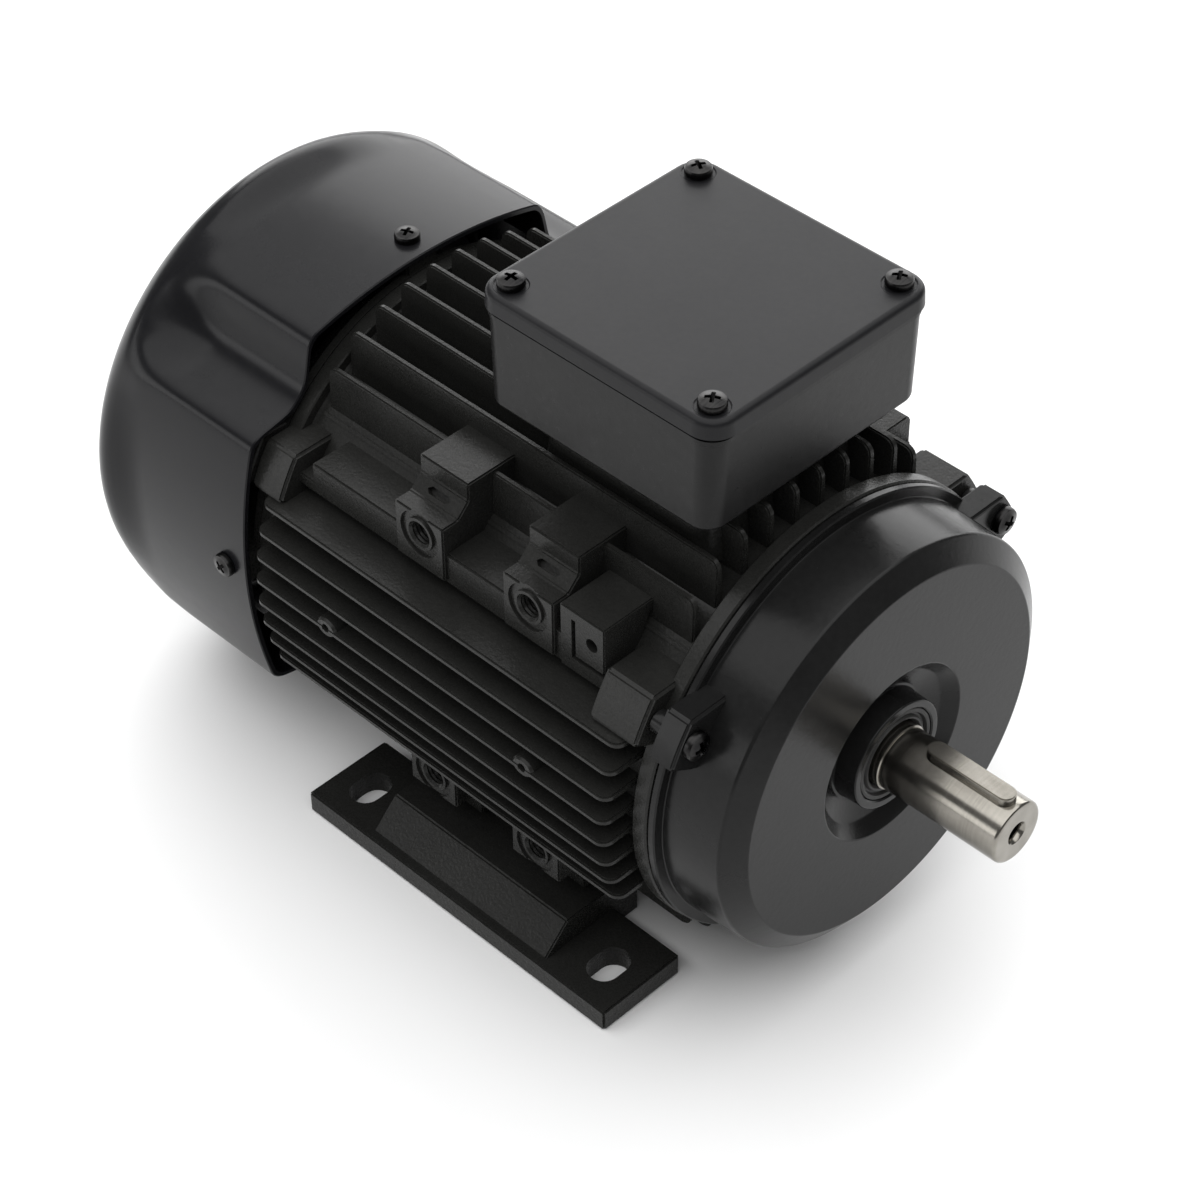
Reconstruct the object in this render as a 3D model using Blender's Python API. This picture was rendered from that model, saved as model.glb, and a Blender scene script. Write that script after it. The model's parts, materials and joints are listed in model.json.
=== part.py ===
"""Foot-mounted, fan-cooled induction motor of IEC size 80, modelled as separate pieces.

Metres, +Z up. The shaft runs along X with its drive end at +X, and the feet stand on z = 0.
Most pieces are drawn about the shaft axis, with their own y = z = 0 on it, and placed at shaft height.
"""

import math

import bmesh
import bpy
from mathutils import Matrix

# Sizes set by the frame size
SHAFT_HEIGHT = 0.080
SHAFT_RADIUS = 0.0095
SHAFT_END_X = 0.147
SHOULDER_X = 0.107
KEY_WIDTH = 0.006
KEY_START_X, KEY_END_X = 0.116, 0.145
KEY_TOP, KEY_BOTTOM = 0.0120, 0.0060
FOOT_CENTRE_X = 0.007
FOOT_HOLES_X, FOOT_HOLES_Y = 0.100, 0.125
FOOT_SLOT_WIDTH, FOOT_SLOT_LENGTH = 0.010, 0.014
BEARING_BORE, BEARING_OUTER, BEARING_WIDTH = 0.010, 0.0235, 0.014
BEARING_CENTRES = {"drive_end": 0.0867, "rear_end": -0.0880}
BALL_COUNT, BALL_RADIUS, BALL_PITCH_RADIUS = 8, 0.00397, 0.01675

# Frame
FRAME_END = 0.0775
BORE_RADIUS, BARREL_RADIUS, RIM_RADIUS = 0.0603, 0.065, 0.069
ROOT_RADIUS = 0.0628
FIN_TIP_RADIUS, FIN_END, FIN_THICKNESS, FIN_CORNER = 0.0777, 0.0705, 0.0022, 0.0035
SIDE_FINS = [0.0041 + 0.0082 * i for i in range(4)]
TOP_FINS = [0.0049 + 0.0098 * i for i in range(4)]
CORNER_FIN_Y, CORNER_FIN_TIP = 0.0428, 0.0617
PAD_CENTRES, PAD_WIDTH = (-0.0135, 0.0285), 0.019
PAD_FACE, PAD_LEDGE, PAD_INNER = 0.063, 0.053, 0.0345
PAD_HOLE_OFFSET, PAD_HOLE_RADIUS, PAD_HOLE_DEPTH = 0.046, 0.0035, 0.013
RAIL_FACE, RAIL_LOW, RAIL_TOP = 0.0617, 0.0333, 0.0439
LUG_ANGLE, LUG_SCREW_RADIUS, LUG_TIP_RADIUS = 30, 0.071, 0.0760
LUG_TOP, BOTTOM_LUG_MARGIN = 0.0432, 0.0050
BOTTOM_SCREW_FRONT, BOTTOM_SCREW_REAR = 0.0710, 0.0665
FRONT_LUG, REAR_LUG = (0.0573, 0.0744), (-0.0770, -0.0645)
LUG_SCREW_SHANK, FOOT_BOLT_RADIUS = 0.0025, 0.004
EARTH_BLOCK_X, EARTH_HOLE, FAR_BLOCK_FACE = (0.0397, 0.0560), (0.0515, 0.0467), 0.0583
BOSS_PLACES, BOSS_RADIUS, BOSS_HOLE_RADIUS = ((-0.0392, 0.0045), (0.0396, 0.0045)), 0.0038, 0.0013
NECK_SIZE, NECK_OPENING = (0.060, 0.060), (0.036, 0.030)

# Shields, fan cover and terminal box
SHIELD_FACE_X = 0.104
SEAL_BORE = 0.0145
COVER_FRONT_X, COVER_FLARE_X, COVER_REAR_X = -0.0758, -0.120, -0.1452
COVER_PANEL, COVER_CROWN, COVER_VALLEY = 0.0757, 0.157, 0.0726
COVER_RIM, COVER_WALL, COVER_FILLET = 0.0794, 0.002, 0.012
COVER_SCREW_X, COVER_SCREW_SHANK = -0.0843, 0.002
COVER_SCREW_TURNS = [math.radians(turn) for turn in (0, 90, -90)]
GRILLE_RADII, GRILLE_SLOT, GRILLE_SPOKE = (0.0170, 0.0270, 0.0370, 0.0470), 0.0065, 0.0060
BOX_X = 0.0317
BOX_FLOOR_Z, BOX_TOP_Z, LID_TOP_Z = 0.163, 0.193, 0.1996
LID_SIZE, LID_SCREWS, BOX_SCREW_HOLE = (0.086, 0.0845), (0.0356, 0.0350), 0.0023
EARTH_SCREW_PLACE = (BOX_X - 0.0290, 0.0290)

# Core, windings and fan
CORE_HALF, CORE_RADIUS, STATOR_BORE = 0.040, 0.0600, 0.0352
STATOR_SLOTS, STATOR_SLOT, STATOR_SLOT_RADII = 18, 0.0068, (0.0368, 0.0500)
ROTOR_SLOTS, ROTOR_SLOT, ROTOR_RADIUS = 14, 0.0044, 0.0347
FAN_BLADES = 8

# Clearances between pieces that touch or pass through one another, and under a screw's head
GAP, HEAD_GAP = 0.0003, 0.0002

# Turns from +X to the way that a screw's head faces
FORWARD = Matrix.Identity(4)
BACKWARD = Matrix.Rotation(math.radians(180), 4, "Z")
UP = Matrix.Rotation(math.radians(-90), 4, "Y")
DOWN = Matrix.Rotation(math.radians(90), 4, "Y")


# Mesh tools


def point(axis, level, first, second):
    """The point at this level along the axis. The other two coordinates are in X, Y, Z order."""
    return {"X": (level, first, second), "Y": (first, level, second), "Z": (first, second, level)}[axis]


def bridged(rings, closed=True):
    """A closed mesh through rings of points. An unclosed chain has a flat cap on its first and last ring."""
    shape = bmesh.new()
    loops = []
    for ring in rings:
        if len(set(ring)) == 1:
            loops.append([shape.verts.new(ring[0])] * len(ring))
        else:
            loops.append([shape.verts.new(co) for co in ring])
    pairs = list(zip(loops, loops[1:]))
    if closed:
        pairs.append((loops[-1], loops[0]))
    else:
        shape.faces.new(loops[0])
        shape.faces.new(loops[-1])
    for loop, after in pairs:
        for i in range(len(loop)):
            j = (i + 1) % len(loop)
            corners = list(dict.fromkeys((loop[i], loop[j], after[j], after[i])))
            if len(corners) > 2:
                shape.faces.new(corners)
    bmesh.ops.recalc_face_normals(shape, faces=shape.faces)
    return shape


def turned(profile, segments=48, axis="X"):
    """A closed profile of (position, radius) points turned about an axis."""
    turns = [math.tau * (i + 0.5) / segments for i in range(segments)]
    return bridged([[point(axis, x, r * math.cos(t), r * math.sin(t)) for t in turns] for x, r in profile])


def prism(outline, axis, low, high):
    """An outline extruded along an axis. Its coordinates follow the other two axes in X, Y, Z order."""
    return bridged([[point(axis, level, a, b) for a, b in outline] for level in (low, high)], closed=False)


def box(low, high):
    corners = [(low[0], low[1]), (high[0], low[1]), (high[0], high[1]), (low[0], high[1])]
    return prism(corners, "Z", low[2], high[2])


def cylinder(axis, first, second, radius, low, high, segments=20):
    turns = [math.tau * (i + 0.5) / segments for i in range(segments)]
    outline = [(first + radius * math.cos(t), second + radius * math.sin(t)) for t in turns]
    return prism(outline, axis, low, high)


def arc(centre, radius, start, end, steps):
    """Points along an arc, from one angle to the other in degrees."""
    turns = [math.radians(start + (end - start) * i / steps) for i in range(steps + 1)]
    return [(centre[0] + radius * math.cos(t), centre[1] + radius * math.sin(t)) for t in turns]


def rounded_rectangle(width, depth, radius, steps=3, centre=(0, 0)):
    outline = []
    for sign_a, sign_b, start in ((1, 1, 0), (-1, 1, 90), (-1, -1, 180), (1, -1, 270)):
        corner = (centre[0] + sign_a * (width / 2 - radius), centre[1] + sign_b * (depth / 2 - radius))
        outline += arc(corner, radius, start, start + 90, steps)
    return outline


def rounded_box(size, radius, low, high, centre=(0, 0), steps=3):
    return prism(rounded_rectangle(size[0], size[1], radius, steps, centre), "Z", low, high)


def tapered_box(levels, centre=(0, 0), steps=3):
    """Rounded rectangles stacked along Z. Each level is (z, width, depth, corner radius)."""
    rings = []
    for z, width, depth, radius in levels:
        rings.append([(a, b, z) for a, b in rounded_rectangle(width, depth, radius, steps, centre)])
    return bridged(rings, closed=False)


def joined(shapes):
    whole = bmesh.new()
    for shape in shapes:
        mesh = bpy.data.meshes.new("piece")
        shape.to_mesh(mesh)
        whole.from_mesh(mesh)
        bpy.data.meshes.remove(mesh)
        shape.free()
    return whole


def moved(shape, matrix):
    shape.transform(matrix)
    if matrix.determinant() < 0:
        bmesh.ops.reverse_faces(shape, faces=shape.faces)
    return shape


def flipped(shape, sign_x=1, sign_y=1, sign_z=1):
    """A mirrored copy: a sign of -1 mirrors that coordinate."""
    return moved(shape.copy(), Matrix.Diagonal((sign_x, sign_y, sign_z, 1)))


def at_corners(shape, signs=((1, 1), (-1, 1), (-1, -1), (1, -1))):
    """Copies of a shape drawn at +y +z, one for each pair of y and z signs."""
    return joined([flipped(shape, 1, sign_y, sign_z) for sign_y, sign_z in signs])


# Scene tools


def paint(name, colour, roughness, metallic=0.0):
    material = bpy.data.materials.get(name) or bpy.data.materials.new(name)
    material.use_nodes = True
    shader = material.node_tree.nodes["Principled BSDF"]
    shader.inputs["Base Color"].default_value = (*colour, 1)
    shader.inputs["Roughness"].default_value = roughness
    shader.inputs["Metallic"].default_value = metallic
    return material


def place(name, shape, material, location=(0, 0, SHAFT_HEIGHT)):
    mesh = bpy.data.meshes.new(name)
    shape.to_mesh(mesh)
    shape.free()
    mesh.materials.append(material)
    mesh.shade_smooth()
    mesh.set_sharp_from_angle(angle=math.radians(32))
    piece = bpy.data.objects.new(name, mesh)
    piece.location = location
    bpy.context.scene.collection.objects.link(piece)
    return piece


def combine(piece, shape, operation):
    """Joins a shape to a piece or cuts it away. The shape stays in the scene as a hidden helper."""
    count = len(piece.modifiers)
    mesh = bpy.data.meshes.new(f"{piece.name}_helper_{count}")
    shape.to_mesh(mesh)
    shape.free()
    helper = bpy.data.objects.new(mesh.name, mesh)
    helper.location = piece.location
    helper.hide_render = True
    helper.display_type = "WIRE"
    bpy.context.scene.collection.objects.link(helper)
    modifier = piece.modifiers.new(f"{operation.lower()}_{count}", "BOOLEAN")
    modifier.operation = operation
    modifier.object = helper


def fuse(piece, shape):
    combine(piece, shape, "UNION")


def cut(piece, shape):
    combine(piece, shape, "DIFFERENCE")


BLACK_CASTING = ("black_casting", (0.012, 0.012, 0.013), 0.42)
BLACK_PRESSING = ("black_pressing", (0.010, 0.010, 0.011), 0.3)
BRIGHT_STEEL = ("bright_steel", (0.62, 0.60, 0.57), 0.28, 1.0)
BLACK_STEEL = ("black_steel", (0.03, 0.03, 0.03), 0.35, 0.8)
BEARING_STEEL = ("bearing_steel", (0.55, 0.55, 0.56), 0.2, 1.0)
LAMINATION = ("lamination", (0.32, 0.33, 0.35), 0.45, 1.0)
COPPER = ("copper", (0.72, 0.33, 0.16), 0.35, 1.0)
CAST_ALUMINIUM = ("cast_aluminium", (0.72, 0.73, 0.74), 0.45, 1.0)
BRASS = ("brass", (0.75, 0.56, 0.25), 0.3, 1.0)
RUBBER = ("rubber", (0.015, 0.015, 0.015), 0.7)
FAN_PLASTIC = ("fan_plastic", (0.02, 0.02, 0.02), 0.5)
BLOCK_PLASTIC = ("block_plastic", (0.10, 0.045, 0.02), 0.45)


# Frame


def fin(offset, side, root=ROOT_RADIUS, tip=FIN_TIP_RADIUS, low=-FIN_END, high=FIN_END):
    """A flat fin along X. side "Z" gives a fin lying at height z = offset, "Y" one standing at y = offset."""
    inner = math.sqrt(root**2 - offset**2)
    outer = math.sqrt(tip**2 - offset**2)
    outline = [(low, inner)]
    outline += arc((low + FIN_CORNER, outer - FIN_CORNER), FIN_CORNER, 180, 90, 1)
    outline += arc((high - FIN_CORNER, outer - FIN_CORNER), FIN_CORNER, 90, 0, 1)
    outline.append((high, inner))
    return prism(outline, side, offset - FIN_THICKNESS / 2, offset + FIN_THICKNESS / 2)


def fin_set():
    quarter = [fin(offset, "Z") for offset in SIDE_FINS] + [fin(offset, "Y") for offset in TOP_FINS]
    quarter.append(fin(CORNER_FIN_Y, "Y", tip=math.hypot(CORNER_FIN_Y, CORNER_FIN_TIP)))
    return at_corners(joined(quarter))


def pads():
    """The pads of one corner are L-shaped, with a sloping land across the corner of the L."""
    land = PAD_LEDGE + 0.003
    inner = 0.0543
    outline = [(inner, PAD_INNER), (PAD_FACE, PAD_INNER), (PAD_FACE, PAD_LEDGE), (land, PAD_LEDGE)]
    outline += [(b, a) for a, b in outline[::-1]] + [(0.0446, 0.0446)]
    half = PAD_WIDTH / 2
    return at_corners(joined([prism(outline, "X", x - half, x + half) for x in PAD_CENTRES]))


def lugs(low, high, bottom_screw):
    """Two lugs above the shaft, with a flat top and a curved outer face, and one lug at the bottom."""
    start = math.degrees(math.asin(LUG_TOP / LUG_TIP_RADIUS))
    outline = [(0.0450, LUG_TOP)] + arc((0, 0), LUG_TIP_RADIUS, start, 23.6, 3)
    outline += [(0.0600, 0.0245), (0.0575, 0.0255), (0.0520, 0.0355)]
    upper = at_corners(prism(outline, "X", low, high), ((1, 1), (-1, 1)))
    outline = [(-0.0105, -0.0600)] + arc((0, 0), bottom_screw + BOTTOM_LUG_MARGIN, -97, -83, 3)
    return joined([upper, prism(outline + [(0.0105, -0.0600)], "X", low, high)])


def lug_screw_places(bottom_screw):
    """The (y, z) centres of the three lug screws of one end."""
    y = LUG_SCREW_RADIUS * math.cos(math.radians(LUG_ANGLE))
    z = LUG_SCREW_RADIUS * math.sin(math.radians(LUG_ANGLE))
    return [(y, z), (-y, z), (0, -bottom_screw)]


def make_frame():
    rim = FRAME_END - 0.0050
    profile = [(-FRAME_END, BORE_RADIUS), (-FRAME_END, RIM_RADIUS), (-rim, RIM_RADIUS), (-rim, BARREL_RADIUS)]
    profile += [(-x, r) for x, r in profile[::-1]]
    frame = place("frame_housing", turned(profile, 40), paint(*BLACK_CASTING))

    fuse(frame, fin_set())

    rail = [(0.0543, RAIL_LOW), (RAIL_FACE, RAIL_LOW), (RAIL_FACE, RAIL_TOP), (0.0460, RAIL_TOP)]
    rail.append((0.0520, 0.0352))
    fuse(frame, at_corners(prism(rail, "X", -0.059, 0.054)))
    step = [(0.0543, RAIL_LOW), (RAIL_FACE, RAIL_LOW), (RAIL_FACE, 0.0372), (0.0510, 0.0372)]
    fuse(frame, at_corners(prism(step, "X", -0.066, 0.060), ((1, 1), (-1, 1))))
    fuse(frame, joined([lugs(*FRONT_LUG, BOTTOM_SCREW_FRONT), lugs(*REAR_LUG, BOTTOM_SCREW_REAR)]))
    fuse(frame, pads())

    near_block = [(0.0520, 0.0355), (0.0600, 0.0330), (0.0622, 0.0330), (0.0622, 0.0545), (0.0430, 0.0545)]
    far_block = [(0.0520, 0.0355), (FAR_BLOCK_FACE, 0.0335), (FAR_BLOCK_FACE, 0.0552)]
    far_block += [(FAR_BLOCK_FACE - 0.0014, 0.0566), (0.0430, 0.0566)]
    near_block = flipped(prism(near_block, "X", *EARTH_BLOCK_X), 1, -1, 1)
    fuse(frame, joined([near_block, prism(far_block, "X", *EARTH_BLOCK_X)]))

    bosses = [cylinder("Y", x, z, BOSS_RADIUS, 0.066, FIN_TIP_RADIUS, 8) for x, z in BOSS_PLACES]
    fuse(frame, at_corners(joined(bosses), ((1, 1), (-1, 1))))

    fuse(frame, rounded_box(NECK_SIZE, 0.006, 0.0615, 0.0814, (BOX_X, 0), 2))
    cut(frame, joined(frame_holes()))


def frame_holes():
    holes = [rounded_box(NECK_OPENING, 0.006, 0.050, 0.090, (BOX_X, 0), 2)]
    holes += [cylinder("Z", x, y, BOX_SCREW_HOLE, 0.0755, 0.0830, 8) for x, y in box_screw_places()]
    for y, z in lug_screw_places(BOTTOM_SCREW_FRONT):
        holes.append(cylinder("X", y, z, LUG_SCREW_SHANK + GAP, 0.060, 0.080, 8))
    for y, z in lug_screw_places(BOTTOM_SCREW_REAR):
        holes.append(cylinder("X", y, z, LUG_SCREW_SHANK + GAP, -0.080, -0.067, 8))
    mouth, bottom = PAD_FACE + 0.002, PAD_FACE - PAD_HOLE_DEPTH
    pad_holes = [cylinder("Y", x, PAD_HOLE_OFFSET, PAD_HOLE_RADIUS, bottom, mouth, 10) for x in PAD_CENTRES]
    holes.append(at_corners(joined(pad_holes)))
    side = [cylinder("Y", *EARTH_HOLE, 0.0021, 0.049, 0.064, 10)]
    side += [cylinder("Y", x, z, BOSS_HOLE_RADIUS, 0.073, 0.080, 8) for x, z in BOSS_PLACES]
    holes.append(at_corners(joined(side), ((1, 1), (-1, 1))))
    bolt_hole = FOOT_BOLT_RADIUS + GAP
    lower = [cylinder("Z", x, PAD_HOLE_OFFSET, bolt_hole, bottom, mouth, 10) for x in PAD_CENTRES]
    holes.append(at_corners(joined(lower), ((1, -1), (-1, -1))))
    holes.append(box((0.0435, -0.064, 0.0385), (0.058, -0.0614, 0.0512)))
    return holes


# End shields and bearings


def make_drive_end_shield():
    face = SHIELD_FACE_X
    profile = [(0.0720, 0.0565), (0.0720, 0.0600), (0.0778, 0.0600), (0.0778, 0.0686), (0.0802, 0.0686)]
    profile += [(0.0802, 0.0653), (0.0990, 0.0643)]
    profile += [(0.1000, 0.0634), (face, 0.0577), (face, 0.0272), (0.1000, 0.0240), (0.0975, 0.0178)]
    profile += [(0.1053, 0.0170), (0.1053, SEAL_BORE), (0.0985, SEAL_BORE)]
    profile += [(0.0985, 0.0115), (0.0940, 0.0115), (0.0940, BEARING_OUTER + GAP)]
    profile += [(0.0795, BEARING_OUTER + GAP), (0.0795, 0.0280), (0.0985, 0.0300)]
    profile += [(0.0985, 0.0540), (0.0940, 0.0590), (0.0795, 0.0590), (0.0770, 0.0565)]
    shield = place("drive_end_shield", turned(profile, 36), paint(*BLACK_CASTING))
    fuse(shield, lugs(0.0788, 0.0873, BOTTOM_SCREW_FRONT))
    neck = [(RIM_RADIUS + 0.0005, -4.3), (0.0735, -3.9), (0.0755, -1.8)]
    neck += [(radius, -spread) for radius, spread in neck[::-1]]
    for angle in (LUG_ANGLE, 180 - LUG_ANGLE, -90):
        turns = [(radius, math.radians(angle + spread)) for radius, spread in neck]
        outline = [(radius * math.cos(turn), radius * math.sin(turn)) for radius, turn in turns]
        fuse(shield, prism(outline, "X", 0.0747, 0.0800))
    places = lug_screw_places(BOTTOM_SCREW_FRONT)
    holes = [cylinder("X", y, z, LUG_SCREW_SHANK + GAP, 0.0700, 0.0900, 8) for y, z in places]
    cut(shield, joined(holes))


def make_rear_end_shield():
    profile = [(-0.0720, 0.0565), (-0.0720, 0.0600), (-0.0778, 0.0600), (-0.0778, 0.0686), (-0.0802, 0.0686)]
    profile += [(-0.0802, 0.0640), (-0.0880, 0.0610), (-0.0915, 0.0560), (-0.0915, 0.0300), (-0.1000, 0.0285)]
    profile += [(-0.1000, 0.0120), (-0.0972, 0.0120), (-0.0972, BEARING_OUTER + GAP)]
    profile += [(-0.0807, BEARING_OUTER + GAP), (-0.0807, 0.0280), (-0.0870, 0.0300), (-0.0870, 0.0540)]
    profile += [(-0.0840, 0.0590), (-0.0790, 0.0590), (-0.0770, 0.0565)]
    shield = place("rear_end_shield", turned(profile, 24), paint(*BLACK_CASTING))
    fuse(shield, lugs(-0.0860, -0.0780, BOTTOM_SCREW_REAR))
    arms = []
    for turn in COVER_SCREW_TURNS:
        arm = box((-0.0890, -0.006, 0.0600), (-0.0781, 0.006, 0.0731))
        arms.append(moved(arm, Matrix.Rotation(turn, 4, "X")))
    fuse(shield, joined(arms))
    places = lug_screw_places(BOTTOM_SCREW_REAR)
    holes = [cylinder("X", y, z, LUG_SCREW_SHANK + GAP, -0.0900, -0.0700, 8) for y, z in places]
    for turn in COVER_SCREW_TURNS:
        hole = cylinder("Z", COVER_SCREW_X, 0, COVER_SCREW_SHANK + GAP, 0.0630, 0.0750, 8)
        holes.append(moved(hole, Matrix.Rotation(turn, 4, "X")))
    cut(shield, joined(holes))


def make_bearing(name, centre):
    """A deep-groove ball bearing: outer ring, inner ring, and the balls in their cage."""
    half = BEARING_WIDTH / 2
    land, floor = 0.0036, 0.0022
    for ring, race, shoulder, wall, segments in (
        ("outer", BALL_PITCH_RADIUS + BALL_RADIUS + 0.0005, 0.0196, BEARING_OUTER, 24),
        ("inner", BALL_PITCH_RADIUS - BALL_RADIUS - 0.0004, 0.0139, BEARING_BORE + GAP, 20),
    ):
        profile = [(-half, shoulder), (-land, shoulder), (-floor, race), (floor, race), (land, shoulder)]
        profile += [(half, shoulder), (half, wall), (-half, wall)]
        shape = turned(profile, segments)
        place(f"{name}_bearing_{ring}_ring", shape, paint(*BEARING_STEEL), at_shaft(centre))

    band = [(-0.0018, BALL_PITCH_RADIUS - 0.001), (0.0018, BALL_PITCH_RADIUS - 0.001)]
    band += [(x, BALL_PITCH_RADIUS + 0.001) for x, _ in band[::-1]]
    balls = bmesh.new()
    for i in range(BALL_COUNT):
        turn = math.tau * i / BALL_COUNT
        spot = (0, BALL_PITCH_RADIUS * math.cos(turn), BALL_PITCH_RADIUS * math.sin(turn))
        place_ball = Matrix.Translation(spot) @ Matrix.Rotation(turn, 4, "X")
        bmesh.ops.create_uvsphere(balls, u_segments=6, v_segments=4, radius=BALL_RADIUS, matrix=place_ball)
    cage = place(f"{name}_bearing_ball_cage", turned(band, 8), paint(*BEARING_STEEL), at_shaft(centre))
    fuse(cage, balls)


def at_shaft(x):
    """The point on the shaft axis at this x."""
    return (x, 0, SHAFT_HEIGHT)


def make_wave_washer():
    washer = turned([(-0.0004, 0.0185), (0.0004, 0.0185), (0.0004, 0.0232), (-0.0004, 0.0232)], 24)
    for vert in washer.verts:
        vert.co.x += 0.0004 * math.sin(3 * math.atan2(vert.co.z, vert.co.y))
    place("wave_washer", washer, paint(*BEARING_STEEL), (-0.0961, 0, SHAFT_HEIGHT))


def make_shaft_seal():
    profile = [(0.0989, 0.0142), (0.0989, 0.0103), (0.1046, 0.0103), (0.1041, 0.0125), (0.1047, 0.0142)]
    place("shaft_seal", turned(profile, 28), paint(*RUBBER))


# Rotor


def make_shaft():
    profile = [(-0.1380, 0), (-0.1380, 0.0073), (-0.1370, 0.0083), (-0.1180, 0.0083), (-0.1180, 0.0090)]
    profile += [(-0.0955, 0.0090), (-0.0955, BEARING_BORE), (-0.0807, BEARING_BORE), (-0.0807, 0.0125)]
    profile += [(0.0793, 0.0125), (0.0793, BEARING_BORE), (SHOULDER_X, BEARING_BORE)]
    profile += [(SHOULDER_X, SHAFT_RADIUS), (SHAFT_END_X - 0.001, SHAFT_RADIUS)]
    profile += [(SHAFT_END_X, SHAFT_RADIUS - 0.001), (SHAFT_END_X, 0.0033), (SHAFT_END_X - 0.0012, 0.0025)]
    profile += [(SHAFT_END_X - 0.016, 0.0025), (SHAFT_END_X - 0.0175, 0)]
    shaft = place("shaft", turned(profile, 24), paint(*BRIGHT_STEEL))
    keyway = key_outline(GAP)
    cut(shaft, prism(keyway, "Z", KEY_BOTTOM - GAP, SHAFT_RADIUS + 0.005))


def key_outline(clearance):
    radius = KEY_WIDTH / 2 + clearance
    first, last = KEY_START_X + KEY_WIDTH / 2, KEY_END_X - KEY_WIDTH / 2
    return arc((first, 0), radius, 90, 270, 6) + arc((last, 0), radius, -90, 90, 6)


def make_key():
    place("shaft_key", prism(key_outline(0), "Z", KEY_BOTTOM, KEY_TOP), paint(*BRIGHT_STEEL))


def slotted_outline(count, gap_radius, slot_width, slot_depth_radius):
    """One closed outline of a slotted stack, whose slots open towards the air gap."""
    outline = []
    half = slot_width / 2
    for i in range(count):
        turn = math.tau * i / count
        opening, floor = gap_radius, slot_depth_radius
        for radius, b in ((opening, -half), (floor, -half), (floor, half), (opening, half)):
            a = math.sqrt(radius**2 - half**2)
            outline.append((a * math.cos(turn) - b * math.sin(turn), a * math.sin(turn) + b * math.cos(turn)))
    return outline


def make_stator():
    stack = cylinder("X", 0, 0, CORE_RADIUS, -CORE_HALF, CORE_HALF, 32)
    core = place("stator_core", stack, paint(*LAMINATION))
    void = slotted_outline(STATOR_SLOTS, STATOR_BORE, STATOR_SLOT, STATOR_SLOT_RADII[1])
    cut(core, prism(void, "X", -CORE_HALF - 0.01, CORE_HALF + 0.01))

    low, high = STATOR_SLOT_RADII[0] + 0.0006, STATOR_SLOT_RADII[1] - 0.0004
    coil = [(CORE_HALF + GAP, low), (CORE_HALF + 0.018, 0.0395)]
    coil += [(CORE_HALF + 0.022, 0.0430), (CORE_HALF + 0.022, 0.0500), (CORE_HALF + 0.016, 0.0545)]
    coil.append((CORE_HALF + GAP, high + 0.003))
    winding = place("stator_winding", turned(coil, 24), paint(*COPPER))
    fuse(winding, turned([(-x, r) for x, r in coil], 24))
    bars = []
    half = STATOR_SLOT / 2 - GAP
    for i in range(STATOR_SLOTS):
        bar = box((-CORE_HALF - 0.006, -half, low + 0.0008), (CORE_HALF + 0.006, half, high - 0.0008))
        bars.append(moved(bar, Matrix.Rotation(math.tau * i / STATOR_SLOTS + math.pi / 2, 4, "X")))
    fuse(winding, joined(bars))


def make_rotor():
    teeth = slotted_outline(ROTOR_SLOTS, ROTOR_RADIUS, ROTOR_SLOT, 0.0240)
    core = place("rotor_core", prism(teeth, "X", -CORE_HALF, CORE_HALF), paint(*LAMINATION))
    cut(core, cylinder("X", 0, 0, 0.0128, -CORE_HALF - 0.01, CORE_HALF + 0.01, 24))

    ring = [(CORE_HALF + GAP, 0.0225), (CORE_HALF + GAP, 0.0335), (CORE_HALF + 0.009, 0.0325)]
    ring += [(CORE_HALF + 0.009, 0.0235)]
    cage = place("rotor_cage", turned(ring, 24), paint(*CAST_ALUMINIUM))
    fuse(cage, turned([(-x, r) for x, r in ring], 24))
    bars = []
    half = ROTOR_SLOT / 2 - GAP
    for i in range(ROTOR_SLOTS):
        bar = box((-CORE_HALF - 0.004, -half, 0.0244), (CORE_HALF + 0.004, half, 0.0325))
        bars.append(moved(bar, Matrix.Rotation(math.tau * i / ROTOR_SLOTS + math.pi / 2, 4, "X")))
    fuse(cage, joined(bars))


def make_fan():
    hub = [(-0.1345, 0.0086), (-0.1345, 0.0150), (-0.1210, 0.0165), (-0.1205, 0.0620), (-0.1185, 0.0620)]
    hub += [(-0.1185, 0.0086)]
    fan = place("cooling_fan", turned(hub, 28), paint(*FAN_PLASTIC))
    blades = []
    outline = [(-0.1200, 0.0140), (-0.1330, 0.0140), (-0.1365, 0.0250), (-0.1345, 0.0600), (-0.1200, 0.0610)]
    for i in range(FAN_BLADES):
        blade = prism(outline, "Y", -0.0009, 0.0009)
        blades.append(moved(blade, Matrix.Rotation(math.tau * i / FAN_BLADES, 4, "X")))
    fuse(fan, joined(blades))
    clip = [(-0.1364, 0.0086), (-0.1364, 0.0125), (-0.1350, 0.0125), (-0.1350, 0.0086)]
    place("fan_clip", turned(clip, 20), paint(*BLACK_STEEL))


# Fan cover


def smooth(t):
    t = min(max(t, 0), 1)
    return t * t * (3 - 2 * t)


def cover_radius(turn, flare):
    """The cover's radius at an angle. Flare 0 is four crowned panels with corner grooves, 1 a circle."""
    off = abs((turn + math.pi / 4) % (math.pi / 2) - math.pi / 4)
    back = COVER_CROWN - COVER_PANEL
    panel = math.sqrt(COVER_CROWN**2 - (back * math.sin(off)) ** 2) - back * math.cos(off)
    groove_floor, groove_side = 3.0, 8.5
    from_corner = math.degrees(math.pi / 4 - off)
    groove = 1 - smooth((from_corner - groove_floor) / groove_side)
    squared = panel + (COVER_VALLEY - panel) * groove
    return squared + (COVER_RIM - squared) * smooth(flare)


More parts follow.
